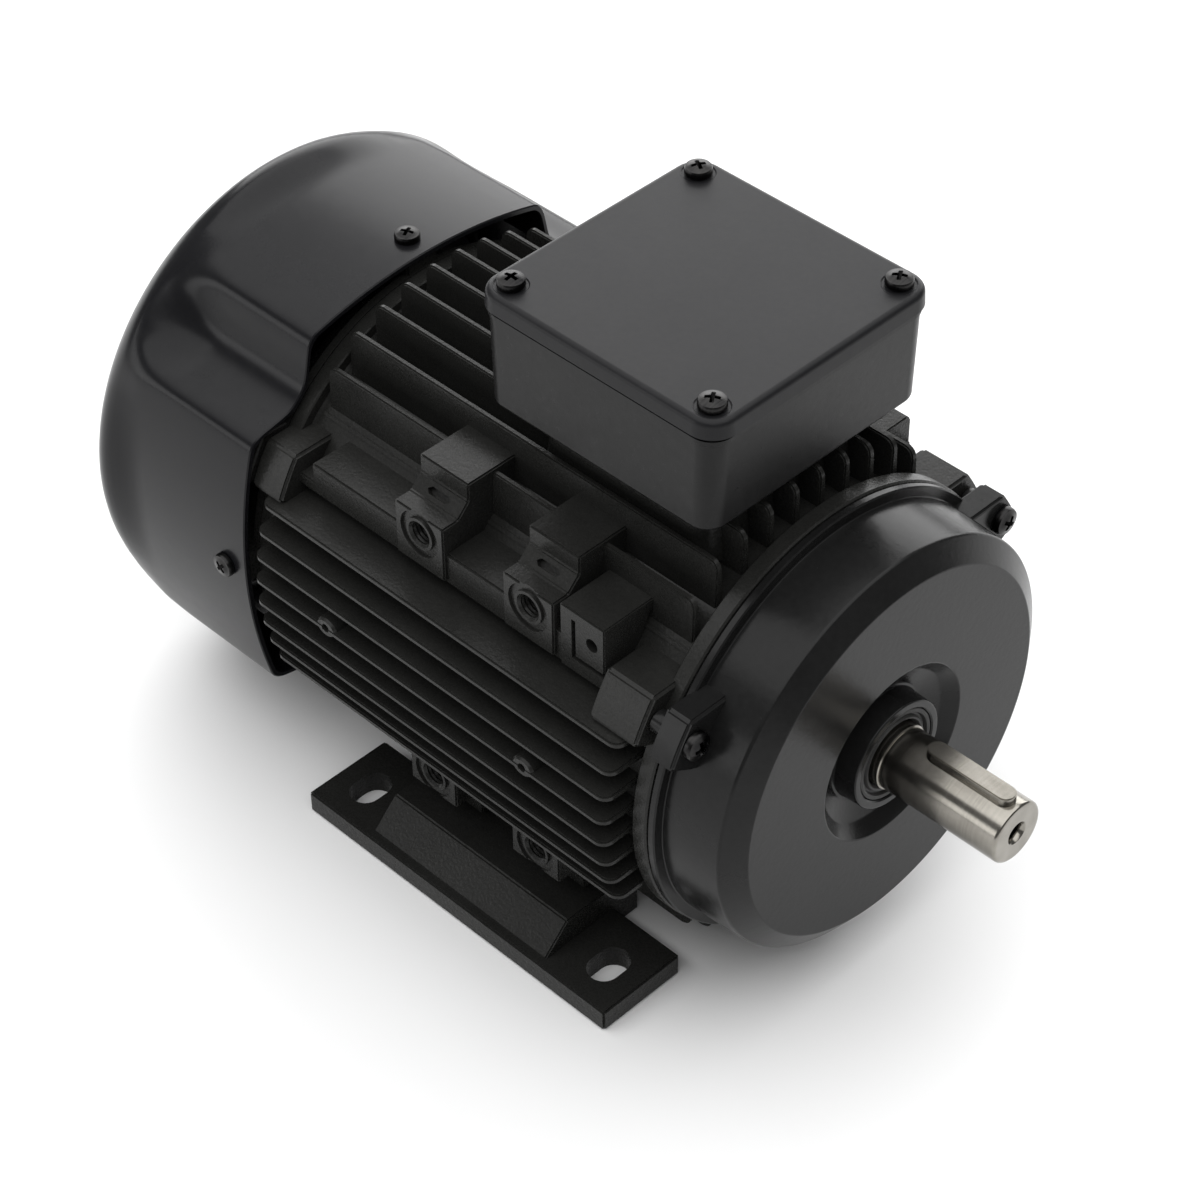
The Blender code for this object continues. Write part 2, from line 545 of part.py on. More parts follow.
def cover_ring(x, inset, shrink):
    octant = (0, 16, 28, 34, 37.5, 41.5)
    angles = []
    for quarter in range(4):
        angles += [quarter * 90 + a for a in octant] + [quarter * 90 + 90 - a for a in octant[:0:-1]]
    flare = (COVER_FLARE_X - x) / (COVER_FLARE_X - COVER_REAR_X - COVER_FILLET)
    ring = []
    for angle in angles:
        turn = math.radians(angle)
        radius = cover_radius(turn, flare) - inset - shrink
        ring.append((x, radius * math.cos(turn), radius * math.sin(turn)))
    return ring


def cover_rings(inset):
    """Rings of one side of the wall, from the open front over the rolled rear edge to the grille."""
    fillet_x = COVER_REAR_X + COVER_FILLET
    middle = (COVER_FLARE_X + fillet_x) / 2
    rings = [cover_ring(x, inset, 0) for x in (COVER_FRONT_X, COVER_FLARE_X, middle, fillet_x)]
    radius = COVER_FILLET - inset
    for angle in (30, 60, 90):
        reach = math.radians(angle)
        rings.append(cover_ring(fillet_x - radius * math.sin(reach), inset, radius * (1 - math.cos(reach))))
    return rings


def make_fan_cover():
    outside, inside = cover_rings(0), cover_rings(COVER_WALL)
    shell = bridged(inside[::-1] + outside, closed=False)
    cover = place("fan_cover", shell, paint(*BLACK_PRESSING))
    slots = []
    for low in GRILLE_RADII:
        high = low + GRILLE_SLOT
        near, far = math.degrees(GRILLE_SPOKE / 2 / low), math.degrees(GRILLE_SPOKE / 2 / high)
        for quarter in range(4):
            start = 45 + 90 * quarter
            outline = arc((0, 0), low, start + near, start + 90 - near, 3)
            outline += arc((0, 0), high, start + 90 - far, start + far, 3)
            slots.append(prism(outline, "X", COVER_REAR_X - 0.002, COVER_REAR_X + 0.004))
    for turn in COVER_SCREW_TURNS:
        hole = cylinder("Z", COVER_SCREW_X, 0, COVER_SCREW_SHANK + GAP, 0.0710, 0.0790, 8)
        slots.append(moved(hole, Matrix.Rotation(turn, 4, "X")))
    cut(cover, joined(slots))


# Screws


def screw_shape(head_radius, head_height, shank_radius, length, segments=8):
    """A pan-head screw along +X, with the underside of its head at x = 0."""
    profile = [(-length, 0), (-length, shank_radius), (0, shank_radius), (0, head_radius)]
    profile += [(head_height * 0.5, head_radius), (head_height, head_radius * 0.65), (head_height, 0)]
    return turned(profile, segments)


def place_screw(name, size, location, turn, finish=BLACK_STEEL):
    """A screw of (head radius, head height, shank radius, length), turned from +X by a matrix."""
    place(name, moved(screw_shape(*size), turn), paint(*finish), location)


def make_screws():
    for i, (y, z) in enumerate(lug_screw_places(BOTTOM_SCREW_FRONT), 1):
        size = (0.0043, 0.0030, LUG_SCREW_SHANK, 0.0250)
        place_screw(f"drive_end_shield_screw_{i}", size, (0.0875, y, SHAFT_HEIGHT + z), FORWARD)
    for i, (y, z) in enumerate(lug_screw_places(BOTTOM_SCREW_REAR), 1):
        size = (0.0043, 0.0030, LUG_SCREW_SHANK, 0.0180)
        place_screw(f"rear_end_shield_screw_{i}", size, (-0.0863, y, SHAFT_HEIGHT + z), BACKWARD)
    for i, turn in enumerate(COVER_SCREW_TURNS, 1):
        spot = Matrix.Rotation(turn, 4, "X") @ Matrix.Translation((COVER_SCREW_X, 0, COVER_PANEL + HEAD_GAP))
        size = (0.0041, 0.0024, COVER_SCREW_SHANK, 0.0110)
        place_screw(f"fan_cover_screw_{i}", size, (0, 0, SHAFT_HEIGHT), spot @ UP)
    for i, (x, y) in enumerate(lid_screw_places(), 1):
        size = (0.0043, 0.0027, 0.0020, 0.0160)
        place_screw(f"lid_screw_{i}", size, (x, y, LID_TOP_Z + HEAD_GAP), UP)
    for i, (x, y) in enumerate(foot_bolt_places(), 1):
        size = (0.0065, 0.0068, FOOT_BOLT_RADIUS, 0.0195)
        place_screw(f"foot_bolt_{i}", size, (x, y, 0.0077), DOWN)
    for i, (x, y) in enumerate(box_screw_places(), 1):
        size = (0.0038, 0.0024, 0.0020, 0.0100)
        place_screw(f"terminal_box_screw_{i}", size, (x, y, BOX_FLOOR_Z + 0.0033), UP, BRIGHT_STEEL)
    earth_size = (0.0040, 0.0026, 0.0020, 0.0020)
    place_screw("earth_screw", earth_size, (*EARTH_SCREW_PLACE, BOX_FLOOR_Z + 0.0033), UP, BRASS)


def lid_screw_places():
    reach_x, reach_y = LID_SCREWS
    return [(BOX_X + a * reach_x, b * reach_y) for a, b in ((1, 1), (-1, 1), (-1, -1), (1, -1))]


def box_screw_places():
    return [(BOX_X + sign * 0.0245, sign * 0.0245) for sign in (1, -1)]


def foot_bolt_places():
    return [(x, y) for y in (PAD_HOLE_OFFSET, -PAD_HOLE_OFFSET) for x in PAD_CENTRES]


# Feet


def make_foot(name, side):
    """A slotted plate with a wedge in the middle that carries the frame's two lower pads on one side."""
    plate = box((FOOT_CENTRE_X - 0.0619, 0.0460, 0), (FOOT_CENTRE_X + 0.0619, 0.0765, 0.0075))
    outline = [(0.0362, 0), (0.0740, 0), (0.0740, 0.0076), (0.0647, 0.0167), (0.0362, 0.0167)]
    wedge = prism(outline, "X", FOOT_CENTRE_X - 0.036, FOOT_CENTRE_X + 0.036)
    foot = place(name, flipped(plate, 1, side, 1), paint(*BLACK_CASTING), (0, 0, 0))
    fuse(foot, flipped(wedge, 1, side, 1))
    holes = []
    reach = (FOOT_SLOT_LENGTH - FOOT_SLOT_WIDTH) / 2
    for sign in (1, -1):
        x, y = FOOT_CENTRE_X + sign * FOOT_HOLES_X / 2, side * FOOT_HOLES_Y / 2
        outline = arc((x, y + reach), FOOT_SLOT_WIDTH / 2, 0, 180, 6)
        outline += arc((x, y - reach), FOOT_SLOT_WIDTH / 2, 180, 360, 6)
        holes.append(prism(outline, "Z", -0.002, 0.010))
    for x, y in foot_bolt_places():
        if y * side > 0:
            holes.append(cylinder("Z", x, y, FOOT_BOLT_RADIUS + GAP, 0.004, 0.020, 14))
    cut(foot, joined(holes))
    bores = [cylinder("Z", x, y, 0.0072, -0.002, 0.0080, 16) for x, y in foot_bolt_places() if y * side > 0]
    cut(foot, joined(bores))


# Terminal box


def make_terminal_box():
    levels = [(BOX_FLOOR_Z, 0.081, 0.082, 0.006), (BOX_TOP_Z, 0.084, 0.083, 0.0065)]
    body = place("terminal_box", tapered_box(levels, (BOX_X, 0)), paint(*BLACK_CASTING), (0, 0, 0))
    levels = [(BOX_FLOOR_Z + 0.003, 0.075, 0.076, 0.004), (BOX_TOP_Z + 0.002, 0.078, 0.077, 0.004)]
    cut(body, tapered_box(levels, (BOX_X, 0), 2))
    posts = [cylinder("Z", x, y, 0.0046, BOX_FLOOR_Z + 0.001, BOX_TOP_Z, 8) for x, y in lid_screw_places()]
    fuse(body, joined(posts))
    holes = [cylinder("Z", x, y, 0.0023, 0.178, 0.200, 8) for x, y in lid_screw_places()]
    holes.append(rounded_box((0.036, 0.030), 0.006, 0.160, 0.168, (BOX_X, 0), 2))
    holes.append(cylinder("Y", BOX_X, 0.1780, 0.0103, 0.035, 0.045, 16))
    for x, y in (*box_screw_places(), EARTH_SCREW_PLACE):
        holes.append(cylinder("Z", x, y, 0.0023, 0.160, 0.168, 8))
    cut(body, joined(holes))

    gasket = rounded_box((0.058, 0.058), 0.005, 0.1617, 0.1627, (BOX_X, 0), 2)
    seal = place("terminal_box_gasket", gasket, paint(*RUBBER), (0, 0, 0))
    holes = [rounded_box((0.038, 0.032), 0.006, 0.160, 0.168, (BOX_X, 0), 2)]
    holes += [cylinder("Z", x, y, 0.0023, 0.160, 0.168, 8) for x, y in box_screw_places()]
    cut(seal, joined(holes))


def make_lid():
    width, depth = LID_SIZE
    levels = [(BOX_TOP_Z + 0.0009, width, depth, 0.008), (LID_TOP_Z - 0.0015, width, depth, 0.008)]
    levels += [(LID_TOP_Z, width - 0.003, depth - 0.003, 0.0065)]
    lid = place("terminal_box_lid", tapered_box(levels, (BOX_X, 0)), paint(*BLACK_PRESSING), (0, 0, 0))
    cut(lid, rounded_box((0.077, 0.076), 0.004, BOX_TOP_Z - 0.002, LID_TOP_Z - 0.0026, (BOX_X, 0), 2))
    low, high = BOX_TOP_Z + 0.0010, LID_TOP_Z - 0.0010
    posts = [cylinder("Z", x, y, 0.0046, low, high, 8) for x, y in lid_screw_places()]
    fuse(lid, joined(posts))
    cut(lid, joined([cylinder("Z", x, y, 0.0023, 0.190, 0.205, 8) for x, y in lid_screw_places()]))
    outer = rounded_box((0.0830, 0.0820), 0.006, BOX_TOP_Z + 0.0003, BOX_TOP_Z + 0.0006, (BOX_X, 0))
    seal = place("lid_gasket", outer, paint(*RUBBER), (0, 0, 0))
    cut(seal, rounded_box((0.0785, 0.0775), 0.004, 0.190, 0.196, (BOX_X, 0), 2))


def make_terminals():
    floor = BOX_FLOOR_Z + 0.0033
    base_plate = rounded_box((0.052, 0.034), 0.002, floor, floor + 0.008, (BOX_X, 0), 1)
    block = place("terminal_block", base_plate, paint(*BLOCK_PLASTIC), (0, 0, 0))
    ribs = []
    for x in (-0.0245, -0.0082, 0.0082, 0.0245):
        middle = BOX_X + x
        ribs.append(box((middle - 0.001, -0.015, floor + 0.007), (middle + 0.001, 0.015, floor + 0.011)))
    fuse(block, joined(ribs))
    base = floor + 0.0083
    stud = [(0, 0), (0, 0.0036), (0.0014, 0.0036), (0.0014, 0.0020), (0.0030, 0.0020), (0.0030, 0.0036)]
    stud += [(0.0056, 0.0036), (0.0056, 0.0020), (0.0100, 0.0020), (0.0100, 0)]
    count = 0
    for x in (-0.0163, 0, 0.0163):
        for y in (-0.0085, 0.0085):
            count += 1
            place(f"terminal_stud_{count}", turned(stud, 8, "Z"), paint(*BRASS), (BOX_X + x, y, base))
        strip = rounded_box((0.007, 0.024), 0.002, 0.0017, 0.0027, steps=2)
        link = place(f"terminal_link_{count // 2}", strip, paint(*BRASS), (BOX_X + x, 0, base))
        cut(link, joined([cylinder("Z", 0, y, 0.0023, 0, 0.004, 10) for y in (-0.0085, 0.0085)]))
    plug = [(0.0370, 0), (0.0370, 0.0100), (0.0418, 0.0100), (0.0418, 0.0125), (0.0440, 0.0125)]
    plug += [(0.0446, 0.0115), (0.0446, 0)]
    place("cable_entry_plug", turned(plug, 16, "Y"), paint(*BLACK_PRESSING), (BOX_X, 0, 0.1780))


def main():
    for thing in list(bpy.data.objects):
        bpy.data.objects.remove(thing)
    make_frame()
    make_drive_end_shield()
    make_rear_end_shield()
    for name, centre in BEARING_CENTRES.items():
        make_bearing(name, centre)
    make_wave_washer()
    make_shaft_seal()
    make_shaft()
    make_key()
    make_stator()
    make_rotor()
    make_fan()
    make_fan_cover()
    make_screws()
    make_foot("foot_left", 1)
    make_foot("foot_right", -1)
    make_terminal_box()
    make_lid()
    make_terminals()


main()
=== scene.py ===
"""The looks of a foot-mounted, fan-cooled motor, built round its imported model.

The frame's unit is the metre, +Z up, with the shaft along X. Pieces are drawn in millimetres about the
shaft axis, with y = z = 0 on it, and piece() puts them into the frame.
"""

import json
import math

import bmesh
import bpy
from mathutils import Matrix, Vector


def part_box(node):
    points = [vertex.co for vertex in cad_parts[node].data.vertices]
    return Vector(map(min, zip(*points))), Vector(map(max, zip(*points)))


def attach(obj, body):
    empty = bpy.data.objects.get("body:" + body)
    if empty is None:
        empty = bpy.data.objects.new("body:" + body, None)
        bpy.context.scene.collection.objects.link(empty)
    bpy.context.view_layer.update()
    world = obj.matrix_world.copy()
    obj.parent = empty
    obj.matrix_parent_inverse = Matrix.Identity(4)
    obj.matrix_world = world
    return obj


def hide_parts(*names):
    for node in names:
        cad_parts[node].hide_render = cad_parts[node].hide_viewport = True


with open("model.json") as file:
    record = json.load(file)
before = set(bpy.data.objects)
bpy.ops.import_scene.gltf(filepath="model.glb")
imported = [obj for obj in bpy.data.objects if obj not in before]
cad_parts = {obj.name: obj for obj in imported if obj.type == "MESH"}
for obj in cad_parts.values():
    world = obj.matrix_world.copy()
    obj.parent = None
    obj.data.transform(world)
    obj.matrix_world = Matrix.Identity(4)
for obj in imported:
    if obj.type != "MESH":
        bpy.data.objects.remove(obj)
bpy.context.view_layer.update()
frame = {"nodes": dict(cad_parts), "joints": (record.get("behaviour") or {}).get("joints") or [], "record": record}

MM = 0.001
AXIS = Vector(next(j for j in frame["joints"] if j["name"] == "rotor_spin")["pos_m"])
SLOT_OF = {part["node"]: part["material_slot"] for part in frame["record"]["subparts"]}
BODY_OF = {node: body for body, nodes in frame["record"]["behaviour"]["bodies"].items() for node in nodes}


def span(node):
    """Lowest and highest corner of a CAD node, in millimetres about the shaft axis."""
    return [(corner - AXIS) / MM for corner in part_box(node)]


def middle_of(node):
    low, high = span(node)
    return (low + high) / 2


# Sizes that several pieces share
FRAME_END = span("frame_housing")[1].x
BOX_X = (span("terminal_box")[0].x + span("terminal_box")[1].x) / 2
BORE, BARREL, RIM, ROOT, FIN_TIP = 60.3, 65.0, 69.0, 62.8, 77.7
PAD_X, PAD_HOLE, PAD_HALF, PAD_FACE = (-13.5, 28.5), 46.0, 9.5, 63.0
BOSS_X, BOSS_Z = (-39.2, 39.6), 4.6
EARTH_BLOCK_X = (39.7, 56.0)
FIN_END, SEAM_END = 70.5, 70.8
LUG_TIP, LUG_TOP, LUG_SCREW, LUG_TURN = 76.0, 43.2, 71.0, 30.0
BOTTOM_SCREW_FRONT, BOTTOM_SCREW_REAR = 71.0, 66.5
COVER_FRONT, COVER_REAR = span("fan_cover")[1].x, span("fan_cover")[0].x
COVER_PANEL, COVER_CROWN, COVER_VALLEY, COVER_RIM = 75.7, 157.0, 72.4, 79.4
COVER_WALL, COVER_FILLET, COVER_SCREW_X, COVER_SCREW_TURNS = 2.0, 12.0, -84.3, (0, 90, -90)
KEY_X, KEY_HALF = (119.0, 142.0), 3.0
BOX_POST, BOX_SCREW_HOLE, LID_ROUNDING = 4.6, 2.3, 1.9
ENTRY_Z = 98.0
FOOT_SLOT_X, FOOT_SLOT_Y, FOOT_SLOT_HALF, WEDGE_HALF = 50.0, (60.5, 64.5), 5.0, 36
CORNERS = ((1, 1), (-1, 1), (-1, -1), (1, -1))


# Mesh tools


def point(axis, level, first, second):
    return {"X": (level, first, second), "Y": (first, level, second), "Z": (first, second, level)}[axis]


def bridged(rings, closed=True):
    """A closed mesh through rings of points. An unclosed chain has a flat cap on its first and last ring."""
    shape = bmesh.new()
    loops = []
    for ring in rings:
        if len(set(ring)) == 1:
            loops.append([shape.verts.new(ring[0])] * len(ring))
        else:
            loops.append([shape.verts.new(co) for co in ring])
    pairs = list(zip(loops, loops[1:]))
    if closed:
        pairs.append((loops[-1], loops[0]))
    else:
        shape.faces.new(loops[0])
        shape.faces.new(loops[-1])
    for loop, after in pairs:
        for i in range(len(loop)):
            j = (i + 1) % len(loop)
            corners = list(dict.fromkeys((loop[i], loop[j], after[j], after[i])))
            if len(corners) > 2:
                shape.faces.new(corners)
    bmesh.ops.recalc_face_normals(shape, faces=shape.faces)
    return shape


def turned(profile, segments=96, axis="X"):
    """A closed profile of (position, radius) points turned about an axis."""
    turns = [math.tau * (i + 0.5) / segments for i in range(segments)]
    return bridged([[point(axis, x, r * math.cos(t), r * math.sin(t)) for t in turns] for x, r in profile])


def prism(outline, axis, low, high):
    """An outline extruded along an axis. Its coordinates follow the other two axes in X, Y, Z order."""
    return bridged([[point(axis, level, a, b) for a, b in outline] for level in (low, high)], closed=False)


def box(low, high):
    corners = [(low[0], low[1]), (high[0], low[1]), (high[0], high[1]), (low[0], high[1])]
    return prism(corners, "Z", low[2], high[2])


def arc(centre, radius, start, end, steps):
    """Points along an arc, from one angle to the other in degrees."""
    turns = [math.radians(start + (end - start) * i / steps) for i in range(steps + 1)]
    return [(centre[0] + radius * math.cos(t), centre[1] + radius * math.sin(t)) for t in turns]


def circle(centre, radius, segments):
    return arc(centre, radius, 180 / segments, 360 - 180 / segments, segments - 1)


def rounded_rectangle(width, depth, radius, centre=(0, 0), steps=8):
    outline = []
    for sign_a, sign_b, start in ((1, 1, 0), (-1, 1, 90), (-1, -1, 180), (1, -1, 270)):
        corner = (centre[0] + sign_a * (width / 2 - radius), centre[1] + sign_b * (depth / 2 - radius))
        outline += arc(corner, radius, start, start + 90, steps)
    return outline


def tapered_box(levels, centre=(0, 0), steps=8):
    """Rounded rectangles stacked along Z. Each level is (z, width, depth, corner radius)."""
    rings = []
    for z, width, depth, radius in levels:
        rings.append([(a, b, z) for a, b in rounded_rectangle(width, depth, radius, centre, steps)])
    return bridged(rings, closed=False)


def joined(shapes):
    whole = bmesh.new()
    for shape in shapes:
        mesh = bpy.data.meshes.new("part")
        shape.to_mesh(mesh)
        whole.from_mesh(mesh)
        bpy.data.meshes.remove(mesh)
        shape.free()
    return whole


def moved(shape, matrix):
    shape.transform(matrix)
    if matrix.determinant() < 0:
        bmesh.ops.reverse_faces(shape, faces=shape.faces)
    return shape


def flipped(shape, sign_x=1, sign_y=1, sign_z=1):
    return moved(shape.copy(), Matrix.Diagonal((sign_x, sign_y, sign_z, 1)))


def at_corners(shape, signs=CORNERS):
    """Copies of a shape drawn at +y +z, one for each pair of y and z signs."""
    return joined([flipped(shape, 1, sign_y, sign_z) for sign_y, sign_z in signs])


def spun(shape, degrees, axis="X"):
    return moved(shape, Matrix.Rotation(math.radians(degrees), 4, axis))


def shifted(shape, x=0, y=0, z=0):
    return moved(shape, Matrix.Translation((x, y, z)))


def softened(shape, width, segments=2, limit=20):
    """Rounds every edge that is sharper than the limit, in degrees."""
    sharp = [e for e in shape.edges if e.calc_face_angle(0) > math.radians(limit)]
    bmesh.ops.bevel(shape, geom=sharp, offset=width, segments=segments, affect="EDGES", clamp_overlap=True)
    return shape


def combined(shape, other, operation):
    """The first shape with the other one joined to it or cut from it."""
    parts = []
    for source in (shape, other):
        mesh = bpy.data.meshes.new("operand")
        source.to_mesh(mesh)
        source.free()
        parts.append(bpy.data.objects.new("operand", mesh))
        bpy.context.scene.collection.objects.link(parts[-1])
    modifier = parts[0].modifiers.new("combine", "BOOLEAN")
    modifier.operation = operation
    modifier.object = parts[1]
    graph = bpy.context.evaluated_depsgraph_get()
    result = bmesh.new()
    result.from_mesh(parts[0].evaluated_get(graph).data)
    for part in parts:
        mesh = part.data
        bpy.data.objects.remove(part)
        bpy.data.meshes.remove(mesh)
    return result


def fused(shape, *others):
    for other in others:
        shape = combined(shape, other, "UNION")
    return shape


def carved(shape, *cutters):
    for cutter in cutters:
        shape = combined(shape, cutter, "DIFFERENCE")
    return shape


def piece(name, shape, material, *nodes, sharp=28):
    """Puts a drawn shape into the frame, in the place of these CAD nodes, riding on their body."""
    # A boolean can drop a face, so any gap is filled.
    rims = [e for e in shape.edges if e.is_boundary]
    if rims:
        filled = bmesh.ops.holes_fill(shape, edges=rims, sides=0)["faces"]
        bmesh.ops.triangulate(shape, faces=filled)
    mesh = bpy.data.meshes.new(name)
    shape.to_mesh(mesh)
    shape.free()
    mesh.transform(Matrix.Translation(AXIS) @ Matrix.Scale(MM, 4))
    mesh.materials.append(material)
    mesh.shade_smooth()
    mesh.set_sharp_from_angle(angle=math.radians(sharp))
    obj = bpy.data.objects.new(name, mesh)
    bpy.context.scene.collection.objects.link(obj)
    normals = obj.modifiers.new("even_shading", "WEIGHTED_NORMAL")
    normals.keep_sharp = True
    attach(obj, BODY_OF[nodes[0]])
    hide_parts(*nodes)
    return obj


# Materials


class Nodes:
    """A material under construction, with short calls for the nodes used here."""

    def __init__(self, name):
        self.material = bpy.data.materials.new(name)
        self.material.use_nodes = True
        self.tree = self.material.node_tree
        self.shader = self.tree.nodes["Principled BSDF"]
        self.place = self.tree.nodes.new("ShaderNodeTexCoord").outputs["Object"]

    def node(self, kind, inputs=None, **settings):
        node = self.tree.nodes.new(kind)
        for key, value in settings.items():
            setattr(node, key, value)
        for key, value in (inputs or {}).items():
            self.feed(node, key, value)
        return node

    def feed(self, node, key, value):
        if isinstance(value, bpy.types.NodeSocket):
            self.tree.links.new(value, node.inputs[key])
        else:
            node.inputs[key].default_value = value

    def noise(self, scale, detail=3.0, roughness=0.55, stretch=None):
        place = self.place
        if stretch:
            place = self.node("ShaderNodeMapping", {"Vector": place, "Scale": stretch}).outputs["Vector"]
        values = {"Vector": place, "Scale": scale, "Detail": detail, "Roughness": roughness}
        return self.node("ShaderNodeTexNoise", values).outputs["Fac"]

    def span(self, value, low, high, to_low, to_high):
        values = {"Value": value, "From Min": low, "From Max": high, "To Min": to_low, "To Max": to_high}
        return self.node("ShaderNodeMapRange", values).outputs["Result"]

    def colours(self, value, first, second):
        node = self.tree.nodes.new("ShaderNodeMix")
        node.data_type = "RGBA"
        self.tree.links.new(value, node.inputs["Factor"])
        colour_a, colour_b = [socket for socket in node.inputs if socket.type == "RGBA"]
        colour_a.default_value, colour_b.default_value = (*first, 1), (*second, 1)
        return next(socket for socket in node.outputs if socket.type == "RGBA")

    def sum(self, first, second):
        return self.node("ShaderNodeMath", {0: first, 1: second}, operation="ADD").outputs[0]

    def times(self, first, second):
        return self.node("ShaderNodeMath", {0: first, 1: second}, operation="MULTIPLY").outputs[0]

    def bump(self, height, strength, distance, normal=None):
        values = {"Height": height, "Strength": strength, "Distance": distance}
        if normal:
            values["Normal"] = normal
        return self.node("ShaderNodeBump", values).outputs["Normal"]

    def finish(self, colour, roughness, normal, **values):
        self.feed(self.shader, "Base Color", colour)
        self.feed(self.shader, "Roughness", roughness)
        if normal:
            self.feed(self.shader, "Normal", normal)
        for key, value in values.items():
            self.shader.inputs[key.replace("_", " ")].default_value = value
        return self.material


def painted(name, dark, light, rough, grain, grain_size, peel, peel_size, shine=0.17):
    """Paint over a casting or a pressing: fine grain, a broader orange peel, and slow changes of tone."""
    n = Nodes(name)
    tone = n.noise(45, 4)
    fine = n.noise(1 / (grain_size * MM), 4, 0.65)
    broad = n.noise(1 / (peel_size * MM), 2, 0.5)
    speckle = n.span(n.noise(520, 2), 0.35, 0.75, 0, 1)
    blend = n.sum(n.times(n.span(tone, 0.3, 0.7, 0, 1), 0.6), n.times(speckle, 0.4))
    roughness = n.span(n.sum(n.times(fine, 0.5), n.times(broad, 0.5)), 0.3, 0.7, rough[0], rough[1])
    normal = n.bump(broad, peel, 0.0003)
    normal = n.bump(fine, grain, 0.00012, normal)
    return n.finish(n.colours(blend, dark, light), roughness, normal, Specular_IOR_Level=shine)


def steel(name, dark, light, rough, marks_per_mm, mark_strength):
    """Turned and ground steel, with fine marks round the X axis."""
    n = Nodes(name)
    split = n.node("ShaderNodeSeparateXYZ", {"Vector": n.place}).outputs
    along = n.node("ShaderNodeCombineXYZ", {"X": split["X"]}).outputs["Vector"]
    values = {"Vector": along, "Scale": 1000 * marks_per_mm, "Detail": 4.0, "Roughness": 0.7}
    marks = n.node("ShaderNodeTexNoise", values).outputs["Fac"]
    smear = n.noise(160, 3, 0.6, (0.5, 1.0, 1.0))
    tone = n.sum(n.times(marks, 0.5), n.times(smear, 0.5))
    roughness = n.span(tone, 0.3, 0.7, rough[0], rough[1])
    normal = n.bump(marks, mark_strength, 0.00004)
    normal = n.bump(n.noise(900, 2), 0.05, 0.00003, normal)
    colour = n.colours(n.span(tone, 0.35, 0.65, 0, 1), dark, light)
    return n.finish(colour, roughness, normal, Metallic=1.0)


def moulded(name, dark, light, rough, bump_size, bump, **values):
    """Rubber or plastic, with a faint matt grain and changes of tone."""
    n = Nodes(name)
    tone = n.noise(120, 3)
    fine = n.noise(1 / (bump_size * MM), 3)
    roughness = n.span(fine, 0.3, 0.7, rough[0], rough[1])
    colour = n.colours(n.span(tone, 0.3, 0.7, 0, 1), dark, light)
    return n.finish(colour, roughness, n.bump(fine, bump, 0.0001), **values)


def laminated():
    """A stack of 0.5 mm sheets, seen at their edges, with a thin varnish."""
    n = Nodes("laminated_steel")
    wave = {"Vector": n.place, "Scale": 100.0, "Distortion": 0.4, "Detail": 1.0}
    sheets = n.node("ShaderNodeTexWave", wave, bands_direction="X").outputs["Fac"]
    colour = n.colours(sheets, (0.10, 0.10, 0.11), (0.34, 0.35, 0.37))
    roughness = n.span(n.noise(300), 0.3, 0.7, 0.35, 0.6)
    return n.finish(colour, roughness, n.bump(sheets, 0.4, 0.0002), Metallic=0.9)


def wound():
    """Bundles of enamelled wire under varnish."""
    n = Nodes("enamelled_wire")
    wave = {"Vector": n.place, "Scale": 190.0, "Distortion": 5.0, "Detail": 2.0, "Detail Scale": 1.5}
    strands = n.node("ShaderNodeTexWave", wave, bands_direction="DIAGONAL").outputs["Fac"]
    colour = n.colours(strands, (0.18, 0.045, 0.012), (0.62, 0.23, 0.08))
    normal = n.bump(strands, 0.7, 0.0005)
    return n.finish(colour, n.span(strands, 0, 1, 0.3, 0.5), normal, Metallic=0.6, Coat_Weight=0.5)


# Dark and light colour, roughness range, then strength and size in mm of the grain and of the orange peel
casting = painted(
    "black_casting", (0.013, 0.013, 0.0122), (0.019, 0.019, 0.0178), (0.22, 0.34), 0.20, 0.35, 0.30, 0.95
)
smooth_casting = painted(
    "black_shield", (0.007, 0.007, 0.007), (0.012, 0.012, 0.012), (0.20, 0.28), 0.08, 0.40, 0.10, 1.8
)
pressing = painted(
    "black_pressing", (0.006, 0.006, 0.007), (0.009, 0.009, 0.010), (0.20, 0.27), 0.06, 0.5, 0.05, 3.5
)
lid_paint = painted(
    "black_lid", (0.008, 0.008, 0.009), (0.012, 0.012, 0.013), (0.32, 0.40), 0.10, 0.35, 0.05, 3.0
)
box_paint = painted(
    "black_box", (0.007, 0.007, 0.007), (0.012, 0.012, 0.012), (0.26, 0.38), 0.14, 0.40, 0.08, 2.0
)
bright_steel = steel("ground_steel", (0.20, 0.188, 0.165), (0.31, 0.295, 0.265), (0.17, 0.24), 1.3, 0.07)
bearing_steel = steel("bearing_steel", (0.48, 0.48, 0.49), (0.62, 0.62, 0.63), (0.12, 0.22), 5.0, 0.12)
black_steel = steel("blackened_steel", (0.010, 0.010, 0.011), (0.040, 0.039, 0.038), (0.22, 0.38), 1.5, 0.10)
cast_aluminium = painted(
    "bare_aluminium", (0.50, 0.51, 0.52), (0.68, 0.69, 0.70), (0.35, 0.55), 0.25, 0.6, 0.1, 2.0, shine=0.5
)
cast_aluminium.node_tree.nodes["Principled BSDF"].inputs["Metallic"].default_value = 1.0
brass = steel("brass", (0.55, 0.38, 0.14), (0.78, 0.58, 0.26), (0.22, 0.35), 2.0, 0.15)
rubber = moulded("rubber", (0.010, 0.010, 0.010), (0.024, 0.023, 0.022), (0.50, 0.70), 0.4, 0.25)
black_plastic = moulded(
    "black_plastic", (0.012, 0.012, 0.012), (0.024, 0.024, 0.025), (0.38, 0.52), 0.5, 0.15
)
